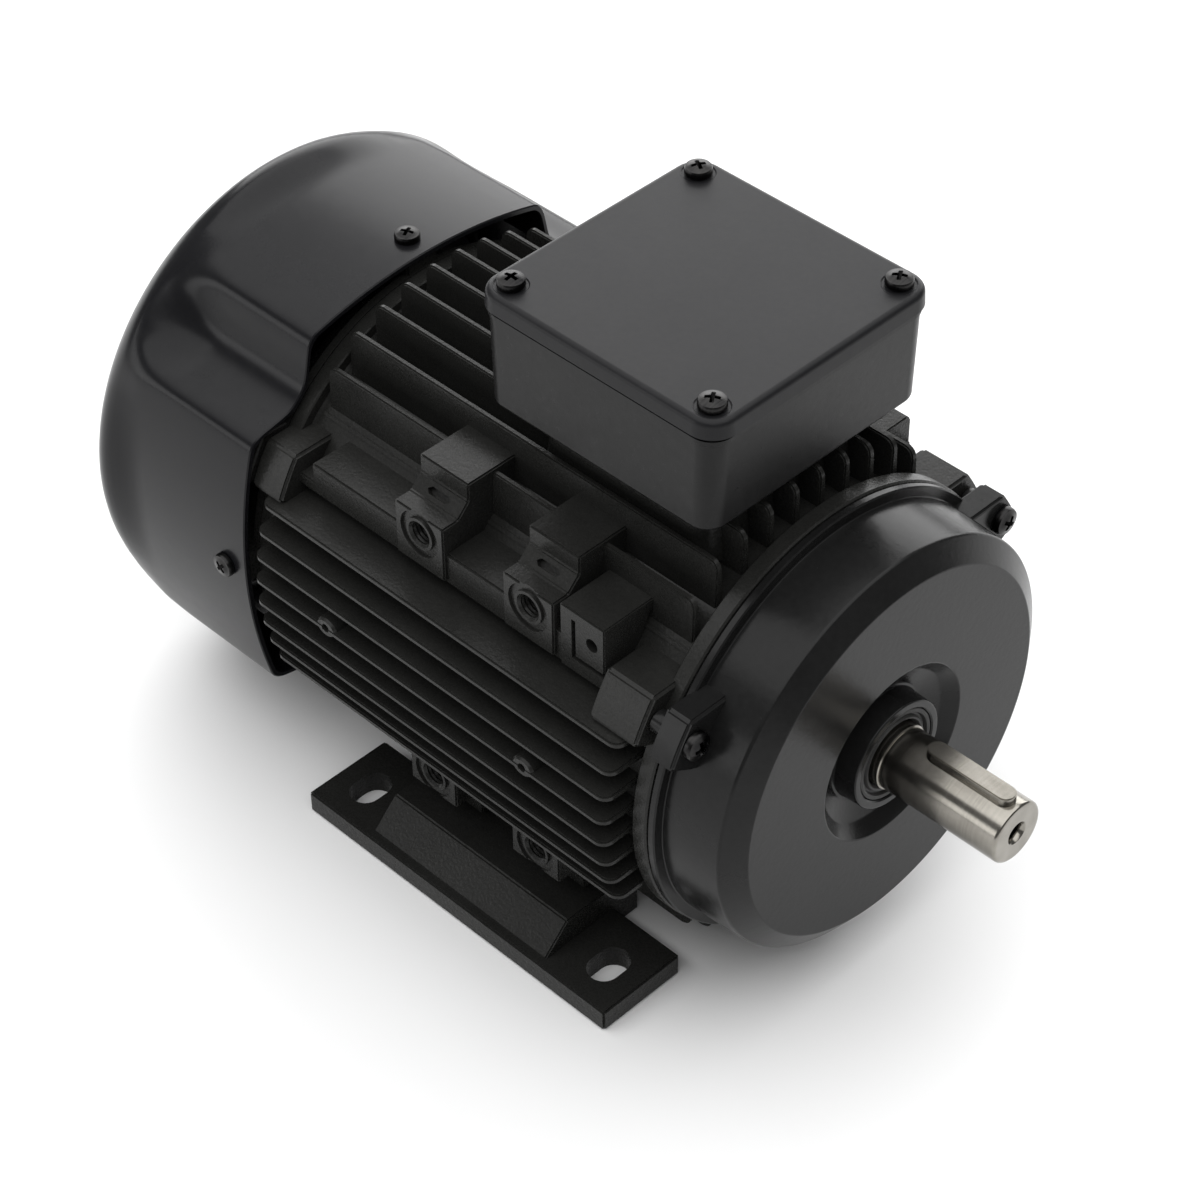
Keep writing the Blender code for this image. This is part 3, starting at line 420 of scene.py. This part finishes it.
brown_plastic = moulded("brown_plastic", (0.075, 0.030, 0.014), (0.13, 0.055, 0.026), (0.32, 0.45), 0.5, 0.15)
FINISHES = {
    "casting_black": casting,
    "pressing_black": pressing,
    "steel_bright": bright_steel,
    "steel_black": black_steel,
    "steel_bearing": bearing_steel,
    "steel_lamination": laminated(),
    "aluminium_cast": cast_aluminium,
    "copper_winding": wound(),
    "brass_terminal": brass,
    "seal_rubber": rubber,
    "plastic_black": black_plastic,
    "plastic_brown": brown_plastic,
}
for node_name, node_object in frame["nodes"].items():
    node_object.data.materials.clear()
    node_object.data.materials.append(FINISHES[SLOT_OF[node_name]])


# Frame casting


def fin(offset, side, tip=FIN_TIP):
    """A flat fin along X, thinner at its tip. On side "Z" it is at z = offset, on "Y" at y = offset."""
    inner, outer = math.sqrt(ROOT**2 - offset**2), math.sqrt(tip**2 - offset**2)
    corner, half_tip, half_root = 3.4, 0.95, 1.45
    outline = [(-FIN_END, inner)] + arc((corner - FIN_END, outer - corner), corner, 180, 90, 5)
    outline += arc((FIN_END - corner, outer - corner), corner, 90, 0, 5) + [(FIN_END, inner)]
    shape = prism(outline, side, -half_tip, half_tip)
    across, out = ("y", "z") if side == "Y" else ("z", "y")
    for vert in shape.verts:
        rise = (getattr(vert.co, out) - inner) / (outer - inner)
        width = half_root + (half_tip - half_root) * rise
        setattr(vert.co, across, offset + math.copysign(width, getattr(vert.co, across)))
    return softened(shape, 0.45, 2, 40)


def lugs(low, high, bottom_screw):
    """Two lugs above the shaft, with a flat top and a curved outer face, and one lug at the bottom."""
    start = math.degrees(math.asin(LUG_TOP / LUG_TIP))
    outline = [(45.0, LUG_TOP)] + arc((0, 0), LUG_TIP, start, 23.6, 8)
    outline += [(60.0, 24.5), (57.5, 25.5), (52.0, 35.5)]
    upper = at_corners(softened(prism(outline, "X", low, high), 0.9, 3), CORNERS[:2])
    outline = [(-10.5, -60.0)] + arc((0, 0), bottom_screw + 5.0, -97, -83, 8) + [(10.5, -60.0)]
    return joined([upper, softened(prism(outline, "X", low, high), 0.9, 3)])


def lug_screw_places(bottom_screw):
    y, z = LUG_SCREW * math.cos(math.radians(LUG_TURN)), LUG_SCREW * math.sin(math.radians(LUG_TURN))
    return [(y, z), (-y, z), (0, -bottom_screw)]


def tapped_hole(radius, depth, pitch, mouth=1.0, segments=28):
    """A cutter for a tapped hole along +X, whose mouth is at x = 0 and opens with a chamfer."""
    profile = [(mouth + 1, 0), (mouth + 1, radius + 0.4 + mouth + 1), (-0.6, radius + 0.2)]
    x = -0.8
    while x > -depth:
        profile += [(x, radius), (x - pitch / 2, radius + 0.3)]
        x -= pitch
    profile += [(x, radius), (x - 1.2, 0)]
    return turned(profile, segments)


def pad_outline():
    land = 57.2
    outline = [(54.3, 34.5), (PAD_FACE, 34.5), (PAD_FACE, 53.0), (land, 53.0)]
    return outline + [(b, a) for a, b in outline[::-1]] + [(44.6, 44.6)]


def frame_casting():
    rim = FRAME_END - 5.0
    side = [(-FRAME_END, BORE), (-FRAME_END, RIM - 0.5), (0.5 - FRAME_END, RIM), (-rim - 0.4, RIM)]
    side += [(-rim, RIM - 0.4), (-rim, BARREL + 0.8), (0.8 - rim, BARREL)]
    shape = turned(side + [(-x, r) for x, r in side[::-1]], 144)

    quarter = [fin(4.1 + 8.2 * i, "Z") for i in range(4)] + [fin(4.9 + 9.8 * i, "Y") for i in range(4)]
    quarter.append(fin(42.8, "Y", tip=math.hypot(42.8, 61.7)))
    shape = fused(shape, at_corners(joined(quarter)))

    rail = [(54.3, 33.3), (61.7, 33.3), (61.7, 43.9), (46.0, 43.9), (52.0, 35.2)]
    shape = fused(shape, at_corners(softened(prism(rail, "X", -59.0, 54.0), 0.6)))
    step = [(54.3, 33.3), (61.7, 33.3), (61.7, 37.2), (51.0, 37.2)]
    shape = fused(shape, at_corners(softened(prism(step, "X", -66.0, 60.0), 0.5), CORNERS[:2]))
    shape = fused(shape, lugs(57.3, 74.4, BOTTOM_SCREW_FRONT), lugs(-77.0, -64.5, BOTTOM_SCREW_REAR))
    blocks = joined([prism(pad_outline(), "X", x - PAD_HALF, x + PAD_HALF) for x in PAD_X])
    shape = fused(shape, at_corners(softened(blocks, 0.5)))

    near_block = [(52.0, 35.5), (60.0, 33.0), (62.2, 33.0), (62.2, 54.5), (43.0, 54.5)]
    near_block = flipped(softened(prism(near_block, "X", *EARTH_BLOCK_X), 0.4), 1, -1, 1)
    far_block = [(52.0, 35.5), (58.3, 33.5), (58.3, 55.2), (56.9, 56.6), (43.0, 56.6)]
    shape = fused(shape, near_block, softened(prism(far_block, "X", *EARTH_BLOCK_X), 0.4))
    seam = box((-SEAM_END, BARREL - 0.6, -0.5), (SEAM_END, BARREL + 0.45, 0.5))
    shape = fused(shape, joined([spun(seam.copy(), 45 + 90 * i) for i in range(4)]))
    boss = spun(turned([(60, 0), (60, 3.2), (76.6, 3.0), (77.4, 2.5), (77.4, 0)], 24), 90, "Z")
    boss = moved(boss, Matrix.Diagonal((1.35, 1, 1, 1)))
    bosses = [shifted(boss.copy(), x, 0, BOSS_Z) for x in BOSS_X]
    shape = fused(shape, joined([flipped(b, 1, s, 1) for b in bosses for s in (1, -1)]))
    neck = tapered_box([(61.0, 64, 64, 8), (80.0, 60, 60, 6), (81.4, 59, 59, 5.5)], (BOX_X, 0))
    shape = fused(shape, neck)

    cuts = [prism(rounded_rectangle(36, 30, 6, (BOX_X, 0)), "Z", 50, 90)]
    for sign_y in (1, -1):
        for x in PAD_X:
            for sign_z in (1, -1):
                hole = spun(tapped_hole(3.5, 12, 1.25), 90 * sign_y, "Z")
                cuts.append(shifted(hole, x, sign_y * PAD_FACE, sign_z * PAD_HOLE))
                groove = turned([(-0.9, 5.2), (1, 5.0), (1, 7.6), (-0.9, 7.2)], 40)
                cuts.append(shifted(spun(groove, 90 * sign_y, "Z"), x, sign_y * PAD_FACE, sign_z * PAD_HOLE))
        for x in BOSS_X:
            dimple = spun(turned([(-3, 0), (-3, 1.2), (1, 1.5), (1, 0)], 16), 90 * sign_y, "Z")
            cuts.append(shifted(dimple, x, sign_y * FIN_TIP, BOSS_Z))
        earth_hole = spun(turned([(-10, 0), (-10, 2.1), (5, 2.1), (5, 0)], 24), 90 * sign_y, "Z")
        cuts.append(shifted(earth_hole, 51.5, sign_y * 62.2, 46.7))
    groove = [(44.0, 37.8), (57.0, 37.8), (57.0, 39.2), (45.5, 39.2), (45.5, 51.4), (44.0, 51.4)]
    cuts.append(prism(groove, "Y", -64, -60.7))
    for y, z in lug_screw_places(BOTTOM_SCREW_FRONT):
        cuts.append(shifted(turned([(60, 0), (60, 2.8), (80, 2.8), (80, 0)], 20), 0, y, z))
    slot = [(-4.4, 0), (-3.2, 1.1), (3.2, 1.1), (4.4, 0), (3.2, -1.1), (-3.2, -1.1)]
    for x in PAD_X:
        pocket = spun(prism([(x + a, b) for a, b in slot], "Y", 76.2, 82), 45)
        cuts += [flipped(pocket, 1, a, b) for a, b in CORNERS]
    shape = carved(shape, joined(cuts))
    piece("frame_casting", shape, casting, "frame_housing")


# Shields


def drive_end_shield():
    face = 104.0
    flange = [(72.0, 56.5), (72.0, 60.0), (77.8, 60.0), (77.8, 68.2), (78.2, 68.6), (79.8, 68.6)]
    barrel = [(80.2, 68.2), (80.2, 65.8)] + arc((80.7, 65.8), 0.5, 180, 270, 3)
    barrel += [(86.0, 65.1), (92.0, 64.8), (98.2, 64.4)]
    chamfer = arc((98.6, 62.9), 1.5, 85, 38, 5) + arc((102.9, 57.3), 1.1, 35, 0, 4)
    recess = [(face, 40.0)] + arc((face - 0.8, 28.0), 0.8, 0, -70, 4)
    recess += [(100.4, 24.4), (99.9, 23.6), (97.8, 18.2), (97.9, 17.5), (98.2, 17.3)]
    boss = [(104.7, 17.0)] + arc((104.8, 16.5), 0.5, 80, 0, 3) + [(105.3, 14.9), (104.9, 14.5)]
    seats = [(98.5, 14.5), (98.5, 11.5), (94.0, 11.5), (94.0, 23.8), (79.5, 23.8)]
    inside = [(79.5, 28.0), (98.5, 30.0), (98.5, 54.0), (94.0, 59.0), (79.5, 59.0), (77.0, 56.5)]
    profile = flange + barrel + chamfer + recess + boss + seats + inside
    shape = turned(profile, 192)
    shape = fused(shape, lugs(78.8, 87.3, BOTTOM_SCREW_FRONT))
    neck = [(74.7, 0), (74.7, 3.1), (75.1, 3.4), (80, 3.4), (80, 0)]
    places = lug_screw_places(BOTTOM_SCREW_FRONT)
    shape = fused(shape, joined([shifted(turned(neck, 32), 0, y, z) for y, z in places]))
    over_rim = [(73.0, BORE), (73.0, RIM + 0.3), (77.75, RIM + 0.3), (77.75, BORE)]
    shape = carved(shape, turned(over_rim, 144))
    seam = [(81.5, 64.0), (81.5, 65.36), (86.0, 65.2), (92.0, 64.9), (97.6, 64.5), (97.6, 64.0)]
    shape = fused(shape, joined([spun(prism(seam, "Y", -0.2, 0.2), 45 + 90 * i) for i in range(4)]))
    holes = [shifted(turned([(70, 0), (70, 2.8), (90, 2.8), (90, 0)], 20), 0, y, z) for y, z in places]
    piece("drive_end_shield_casting", carved(shape, joined(holes)), smooth_casting, "drive_end_shield")


def rear_end_shield():
    profile = [(-72.0, 56.5), (-72.0, 60.0), (-77.8, 60.0), (-77.8, 68.6), (-80.2, 68.6), (-80.2, 64.5)]
    profile += [(-88.0, 61.0), (-91.0, 58.0), (-91.5, 56.0), (-91.5, 30.0), (-99.5, 28.5), (-100.0, 28.0)]
    profile += [(-100.0, 12.0), (-97.2, 12.0), (-97.2, 23.8), (-80.7, 23.8), (-80.7, 28.0), (-87.0, 30.0)]
    profile += [(-87.0, 54.0), (-84.0, 59.0), (-79.0, 59.0), (-77.0, 56.5)]
    shape = turned(profile, 120)
    shape = fused(shape, lugs(-86.0, -78.0, BOTTOM_SCREW_REAR))
    arms = [spun(softened(box((-89.0, -6, 60.0), (-78.1, 6, 73.1)), 0.8), turn) for turn in COVER_SCREW_TURNS]
    shape = fused(shape, joined(arms))
    places = lug_screw_places(BOTTOM_SCREW_REAR)
    holes = [shifted(turned([(-90, 0), (-90, 2.8), (-70, 2.8), (-70, 0)], 16), 0, y, z) for y, z in places]
    hole = [(63, 0), (63, 2.3), (75, 2.3), (75, 0)]
    holes += [spun(shifted(turned(hole, 16, "Z"), COVER_SCREW_X), turn) for turn in COVER_SCREW_TURNS]
    piece("rear_end_shield_casting", carved(shape, joined(holes)), casting, "rear_end_shield")


# Shaft, key and seal


def key_outline(clearance):
    radius = KEY_HALF + clearance
    return arc((KEY_X[0], 0), radius, 90, 270, 16) + arc((KEY_X[1], 0), radius, -90, 90, 16)


def shaft():
    end = span("shaft")[1].x
    profile = [(-138.0, 0), (-138.0, 7.3), (-137.0, 8.3), (-118.0, 8.3), (-118.0, 9.0), (-95.5, 9.0)]
    profile += [(-95.5, 10.0), (-80.7, 10.0), (-80.7, 12.4), (79.3, 12.4), (79.3, 10.0)]
    profile += [(106.7, 10.0), (107.0, 9.7), (107.0, 9.5), (end - 1.1, 9.5)]
    profile += arc((end - 1.0, 8.5), 1.0, 70, 20, 2) + [(end, 8.4)]
    profile += [(end, 3.6), (end - 0.9, 2.9), (end - 2.0, 2.6), (end - 16.0, 2.6), (end - 17.5, 0)]
    shape = turned(profile, 128)
    shape = carved(shape, prism(key_outline(0.06), "Z", 5.8, 15))
    piece("turned_shaft", shape, bright_steel, "shaft")
    key = softened(prism(key_outline(0), "Z", 6.0, 12.0), 0.3, 2, 60)
    piece("parallel_key", key, bright_steel, "shaft_key")


def shaft_seal():
    outline = [(98.9, 14.2), (98.9, 10.25), (103.6, 10.25), (104.6, 10.9), (104.7, 11.5)]
    outline += [(103.7, 12.0), (103.7, 12.6), (104.8, 13.0), (105.0, 13.6), (104.8, 14.2)]
    piece("lip_seal", turned(outline, 128), rubber, "shaft_seal")


# Fan cover


def clamped(t):
    return min(max(t, 0), 1)


def cover_section(degrees, groove):
    """The cover's radius at an angle: four crowned panels, with a groove of depth 0 to 1 at each corner."""
    off = abs((degrees + 45) % 90 - 45)
    back, turn = COVER_CROWN - COVER_PANEL, math.radians(off)
    panel = math.sqrt(COVER_CROWN**2 - (back * math.sin(turn)) ** 2) - back * math.cos(turn)
    rise = clamped((45 - off - 2.0) / 9.8) ** 1.6
    return panel - (panel - COVER_VALLEY) * (1 - rise) * groove


def eased(t):
    t = clamped(t)
    return t * t * (3 - 2 * t)


def cover_ring(x, inset, shrink):
    """One ring of the wall. Towards the rear the grooves fade and the section turns into a circle."""
    flare, fade = eased((x + 123) / -18), eased((x + 112) / -31)
    spread = 2.0 + 4.0 * fade
    octant = [2.5 * i for i in range(10)] + [25 + 0.8 * i for i in range(25)] + [45]
    ring = []
    for quarter in range(4):
        for off in octant + [90 - a for a in octant[-2:0:-1]]:
            degrees = 90 * quarter + off
            section = sum(cover_section(degrees + spread * k / 4, 1 - 0.8 * fade) for k in range(-4, 5)) / 9
            radius = section + (COVER_RIM - section) * flare - inset - shrink
            turn = math.radians(degrees)
            ring.append((x, radius * math.cos(turn), radius * math.sin(turn)))
    return ring


def cover_rings(inset):
    start = COVER_REAR + COVER_FILLET
    reach = COVER_FRONT - start
    lip = 0.35
    rings = [cover_ring(COVER_FRONT, inset, lip if inset == 0 else -lip)]
    rings += [cover_ring(COVER_FRONT - lip - (reach - lip) * i / 24, inset, 0) for i in range(25)]
    radius = COVER_FILLET - inset
    for angle in range(9, 91, 9):
        turn = math.radians(angle)
        rings.append(cover_ring(start - radius * math.sin(turn), inset, radius * (1 - math.cos(turn))))
    return rings


def fan_cover():
    shape = bridged(cover_rings(COVER_WALL)[::-1] + cover_rings(0), closed=False)
    cuts = []
    for low in (17.0, 27.0, 37.0, 47.0):
        high, half_spoke = low + 6.5, 3.0
        near, far = math.degrees(half_spoke / low), math.degrees(half_spoke / high)
        for quarter in range(4):
            start = 45 + 90 * quarter
            outline = arc((0, 0), low, start + near, start + 90 - near, 20)
            outline += arc((0, 0), high, start + 90 - far, start + far, 20)
            cuts.append(prism(outline, "X", COVER_REAR - 2, COVER_REAR + 4))
    for turn in COVER_SCREW_TURNS:
        hole = turned([(71, 0), (71, 2.3), (79, 2.3), (79, 0)], 20, "Z")
        cuts.append(spun(shifted(hole, COVER_SCREW_X), turn))
    piece("fan_cowl", carved(shape, joined(cuts)), pressing, "fan_cover", sharp=35)


def fan():
    hub = [(-134.5, 8.6), (-134.5, 14.6), (-134.1, 15.0), (-121.0, 16.5), (-120.5, 20)]
    hub += [(-120.5, 61.5), (-120.0, 61.9), (-118.9, 61.9), (-118.5, 61.5), (-118.5, 8.6)]
    shape = turned(hub, 96)
    outline = [(-119.8, 14.0), (-133.0, 14.0), (-136.3, 25.0), (-134.5, 60.0), (-133.5, 60.9), (-119.8, 60.9)]
    blade = softened(prism(outline, "Y", -0.9, 0.9), 0.35)
    blades = [spun(blade.copy(), 45 * i) for i in range(8)]
    piece("radial_fan", fused(shape, joined(blades)), black_plastic, "cooling_fan")
    clip = [(-136.4, 8.6), (-136.4, 12.3), (-136.2, 12.5), (-135.2, 12.5), (-135.0, 12.3), (-135.0, 8.6)]
    piece("retaining_ring", turned(clip, 64), black_steel, "fan_clip")


# Screws


def screw_shape(head_radius, head_height, shank_radius, length):
    """A pan-head screw along +X with a cross recess. The underside of its head is at x = 0."""
    r, h = head_radius, head_height
    profile = [(-length, 0), (-length, shank_radius * 0.7), (0.4 - length, shank_radius), (0, shank_radius)]
    profile += [(0, r * 0.94), (h * 0.08, r)] + arc((h * 0.35, r * 0.45), r * 0.55, 88, 60, 3)
    profile += [(h * 0.80, r * 0.72), (h * 0.95, r * 0.5), (h, r * 0.25), (h, 0)]
    profile = [(min(x, h), radius) for x, radius in profile]
    head = turned(profile, 40)
    rings = []
    for x, arm, half in ((h * 0.25, r * 0.22, r * 0.07), (h + 0.5, r * 0.66, r * 0.17)):
        ring = []
        for i in range(4):
            turn = math.radians(90 * i)
            cos, sin = math.cos(turn), math.sin(turn)
            for a, b in ((arm, -half), (arm, half), (half, half)):
                ring.append((x, a * cos - b * sin, a * sin + b * cos))
        rings.append(ring)
    return carved(head, bridged(rings, closed=False))


def hex_socket_shape(head_radius, head_height, shank_radius, length):
    r, h = head_radius, head_height
    profile = [(-length, 0), (-length, shank_radius * 0.8), (0.5 - length, shank_radius), (0, shank_radius)]
    profile += [(0, r - 0.2), (0.2, r), (h - 0.5, r), (h, r - 0.5), (h, 0)]
    return carved(turned(profile, 40), prism(circle((0, 0), r * 0.52, 6), "X", h * 0.4, h + 1))


FORWARD = Matrix.Identity(4)
BACKWARD = Matrix.Rotation(math.radians(180), 4, "Z")
UP = Matrix.Rotation(math.radians(-90), 4, "Y")
DOWN = Matrix.Rotation(math.radians(90), 4, "Y")


def screw(node, shape, turn, x, y, z, twist):
    """Puts a screw drawn along +X at a point, turned about its own axis by the twist in degrees."""
    shape = moved(spun(shape, twist), Matrix.Translation((x, y, z)) @ turn)
    piece(node + "_turned", shape, black_steel, node)


def screws():
    for i, (y, z) in enumerate(lug_screw_places(BOTTOM_SCREW_FRONT), 1):
        shape = screw_shape(4.2, 3.0, 2.5, 25)
        screw(f"drive_end_shield_screw_{i}", shape, FORWARD, 87.5, y, z, 20 + 37 * i)
    for i, (y, z) in enumerate(lug_screw_places(BOTTOM_SCREW_REAR), 1):
        shape = screw_shape(4.0, 3.0, 2.5, 18)
        screw(f"rear_end_shield_screw_{i}", shape, BACKWARD, -86.3, y, z, 11 + 29 * i)
    for i, turn in enumerate(COVER_SCREW_TURNS, 1):
        spot = Matrix.Translation((COVER_SCREW_X, 0, COVER_PANEL + 0.2)) @ UP
        spot = Matrix.Rotation(math.radians(turn), 4, "X") @ spot
        screw(f"fan_cover_screw_{i}", screw_shape(3.8, 2.4, 2.0, 11), spot, 0, 0, 0, 23 * i)
    for i in range(1, 5):
        spot, top = middle_of(f"lid_screw_{i}"), span(f"lid_screw_{i}")[1].z
        screw(f"lid_screw_{i}", screw_shape(3.9, 2.7, 2.0, 16), UP, spot.x, spot.y, top - 2.7, 31 * i)
        spot, bottom = middle_of(f"foot_bolt_{i}"), span(f"foot_bolt_{i}")[0].z
        shape = hex_socket_shape(5.9, 6.7, 4.0, 19.5)
        screw(f"foot_bolt_{i}", shape, DOWN, spot.x, spot.y, bottom + 6.8, 15 * i)


# Feet


def foot(side, node):
    low, high = span(node)
    middle = (low.x + high.x) / 2
    outer = max(abs(low.y), abs(high.y))
    plate = softened(box((low.x, 46.0, low.z), (high.x, outer, low.z + 7.5)), 0.6)
    outline = [(36.2, low.z), (74.0, low.z), (74.0, low.z + 7.6), (64.9, high.z), (36.2, high.z)]
    wedge = softened(prism(outline, "X", middle - WEDGE_HALF, middle + WEDGE_HALF), 0.5)
    shape = fused(plate, wedge)
    cuts = []
    for sign in (1, -1):
        x = middle + sign * FOOT_SLOT_X
        outline = arc((x, FOOT_SLOT_Y[1]), FOOT_SLOT_HALF, 0, 180, 16)
        outline += arc((x, FOOT_SLOT_Y[0]), FOOT_SLOT_HALF, 180, 360, 16)
        cuts.append(prism(outline, "Z", low.z - 2, low.z + 10))
    bolt_hole = [(-2, 0), (-2, 7.2), (8, 7.2), (8, 4.3), (20, 4.3), (20, 0)]
    bolt_hole = turned([(low.z + rise, radius) for rise, radius in bolt_hole], 32, "Z")
    cuts += [shifted(bolt_hole.copy(), x, PAD_HOLE) for x in PAD_X]
    shape = carved(shape, joined(cuts))
    piece(node + "_casting", moved(shape, Matrix.Diagonal((1, side, 1, 1))), casting, node)


# Terminal box


def lid_screw_places():
    return [middle_of(f"lid_screw_{i}") for i in range(1, 5)]


def terminal_box():
    low, high = span("terminal_box")
    top = [(high.z - 1.6, 83.2, 82.2, 6.4), (high.z - 1.2, 84.0, 83.0, 6.8), (high.z, 84.0, 83.0, 6.8)]
    levels = [(low.z, 79.6, 80.6, 5.4), (low.z + 0.5, 80.6, 81.6, 5.9), (low.z + 1.2, 81.1, 82.1, 6.0)] + top
    shape = tapered_box(levels, (BOX_X, 0), 10)
    inside = tapered_box([(low.z + 3, 75, 76, 4), (high.z + 2, 78, 77, 4)], (BOX_X, 0), 4)
    shape = carved(shape, inside)
    places = lid_screw_places()
    posts = [prism(circle((p.x, p.y), BOX_POST, 24), "Z", low.z + 1, high.z) for p in places]
    shape = fused(shape, joined(posts))
    cuts = [prism(circle((p.x, p.y), BOX_SCREW_HOLE, 20), "Z", high.z - 15, high.z + 5) for p in places]
    cuts.append(prism(rounded_rectangle(36, 30, 6, (BOX_X, 0)), "Z", low.z - 3, low.z + 5))
    cuts.append(prism(circle((BOX_X, ENTRY_Z), 10.3, 40), "Y", 35, 45))
    for name in ("terminal_box_screw_1", "terminal_box_screw_2", "earth_screw"):
        spot = middle_of(name)
        cuts.append(prism(circle((spot.x, spot.y), BOX_SCREW_HOLE, 16), "Z", low.z - 3, low.z + 5))
    piece("terminal_box_casting", carved(shape, joined(cuts)), box_paint, "terminal_box")


def terminal_box_lid():
    bottom, top = span("terminal_box_lid")
    width, depth = top.x - bottom.x, top.y - bottom.y
    rise = top.z - LID_ROUNDING
    levels = [(bottom.z, width - 0.6, depth - 0.6, 7.8), (bottom.z + 0.3, width, depth, 8.0)]
    for angle in range(0, 91, 15):
        turn = math.radians(angle)
        inset = LID_ROUNDING * (1 - math.cos(turn))
        trim = 0.4 + 2 * inset
        levels.append((rise + LID_ROUNDING * math.sin(turn), width - trim, depth - trim, 7.8 - inset))
    lid = tapered_box(levels, (BOX_X, 0), 12)
    lid = carved(lid, prism(rounded_rectangle(77, 76, 4, (BOX_X, 0)), "Z", bottom.z - 2, top.z - 2.6))
    places = lid_screw_places()
    posts = [prism(circle((p.x, p.y), BOX_POST, 24), "Z", bottom.z + 0.1, top.z - 1) for p in places]
    lid = fused(lid, joined(posts))
    cuts = [prism(circle((p.x, p.y), BOX_SCREW_HOLE, 20), "Z", bottom.z - 3, top.z + 5) for p in places]
    dish = turned([(top.z - 0.25, 0), (top.z - 0.25, 4.6), (top.z + 0.2, 5.2), (top.z + 0.2, 0)], 32, "Z")
    dishes = joined([shifted(dish.copy(), p.x, p.y) for p in places])
    piece("box_lid", carved(lid, dishes, joined(cuts)), lid_paint, "terminal_box_lid")


def cable_entry_plug():
    face = span("cable_entry_plug")[1].y
    profile = [(37.0, 0), (37.0, 9.6), (37.4, 10.0), (41.8, 10.0), (41.8, 12.2), (42.1, 12.5)]
    profile += [(face - 0.8, 12.5), (face, 11.6), (face, 5.0), (face - 1.2, 4.6), (face - 1.2, 0)]
    shape = shifted(turned(profile, 64, "Y"), BOX_X, 0, ENTRY_Z)
    slot = box((BOX_X - 8, face - 1.3, ENTRY_Z - 0.8), (BOX_X + 8, face + 1, ENTRY_Z + 0.8))
    piece("blanking_plug", carved(shape, slot), black_plastic, "cable_entry_plug")


frame_casting()
drive_end_shield()
rear_end_shield()
shaft()
shaft_seal()
fan_cover()
fan()
screws()
foot(1, "foot_left")
foot(-1, "foot_right")
terminal_box()
terminal_box_lid()
cable_entry_plug()


# Studio


def direction(azimuth, elevation):
    """Where something stands round the motor, in degrees: 0 is the near side, 90 the drive end."""
    a, e = math.radians(azimuth), math.radians(elevation)
    return Vector((math.sin(a) * math.cos(e), -math.cos(a) * math.cos(e), math.sin(e)))


def camera():
    """A long lens above the drive end's near corner, aimed at the middle of the motor."""
    azimuth, roll = math.radians(45.19), math.radians(-0.6)
    back = direction(45.19, 42.17)
    right = Vector((math.cos(azimuth), math.sin(azimuth), 0))
    up = back.cross(right)
    target = Vector((0.007, 0, AXIS.z)) + right * -0.0105 + up * -0.0041
    rolled_right = right * math.cos(roll) + up * math.sin(roll)
    rolled_up = up * math.cos(roll) - right * math.sin(roll)
    data = bpy.data.cameras.new("camera")
    data.sensor_width = 36.0
    data.lens = 97.89
    view = bpy.data.objects.new("camera", data)
    turn = Matrix((rolled_right, rolled_up, back)).transposed().to_4x4()
    view.matrix_world = Matrix.Translation(target + back * 0.933) @ turn
    bpy.context.scene.collection.objects.link(view)
    bpy.context.scene.camera = view


def softbox(name, azimuth, elevation, distance, size, watts):
    """A large area light aimed at the motor from a direction."""
    away = direction(azimuth, elevation)
    data = bpy.data.lights.new(name, "AREA")
    data.shape = "RECTANGLE"
    data.size, data.size_y = size
    data.energy = watts
    light = bpy.data.objects.new(name, data)
    light.location = Vector((0, 0, 0.08)) + away * distance
    light.rotation_euler = away.to_track_quat("Z", "Y").to_euler()
    bpy.context.scene.collection.objects.link(light)


def studio():
    floor_mesh = bpy.data.meshes.new("floor")
    reach = 4.0
    corners = [(-reach, -reach, 0), (reach, -reach, 0), (reach, reach, 0), (-reach, reach, 0)]
    floor_mesh.from_pydata(corners, [], [(0, 1, 2, 3)])
    floor = bpy.data.objects.new("floor", floor_mesh)
    floor.location.z = -0.0002
    n = Nodes("pale_floor")
    colour = n.colours(n.noise(3.0), (0.86, 0.86, 0.86), (0.90, 0.90, 0.90))
    floor_mesh.materials.append(n.finish(colour, 0.85, None))
    bpy.context.scene.collection.objects.link(floor)

    world = bpy.data.worlds.new("studio")
    world.use_nodes = True
    world.node_tree.nodes["Background"].inputs["Color"].default_value = (1, 1, 1, 1)
    world.node_tree.nodes["Background"].inputs["Strength"].default_value = 0.2
    bpy.context.scene.world = world
    softbox("overhead", 0, 88, 2.0, (4.0, 4.0), 102)
    softbox("backdrop", 215, 22, 2.2, (3.0, 1.3), 44)
    softbox("side", -35, 10, 1.6, (1.3, 0.5), 5)
    bpy.context.scene.view_settings.view_transform = "Standard"


camera()
studio()
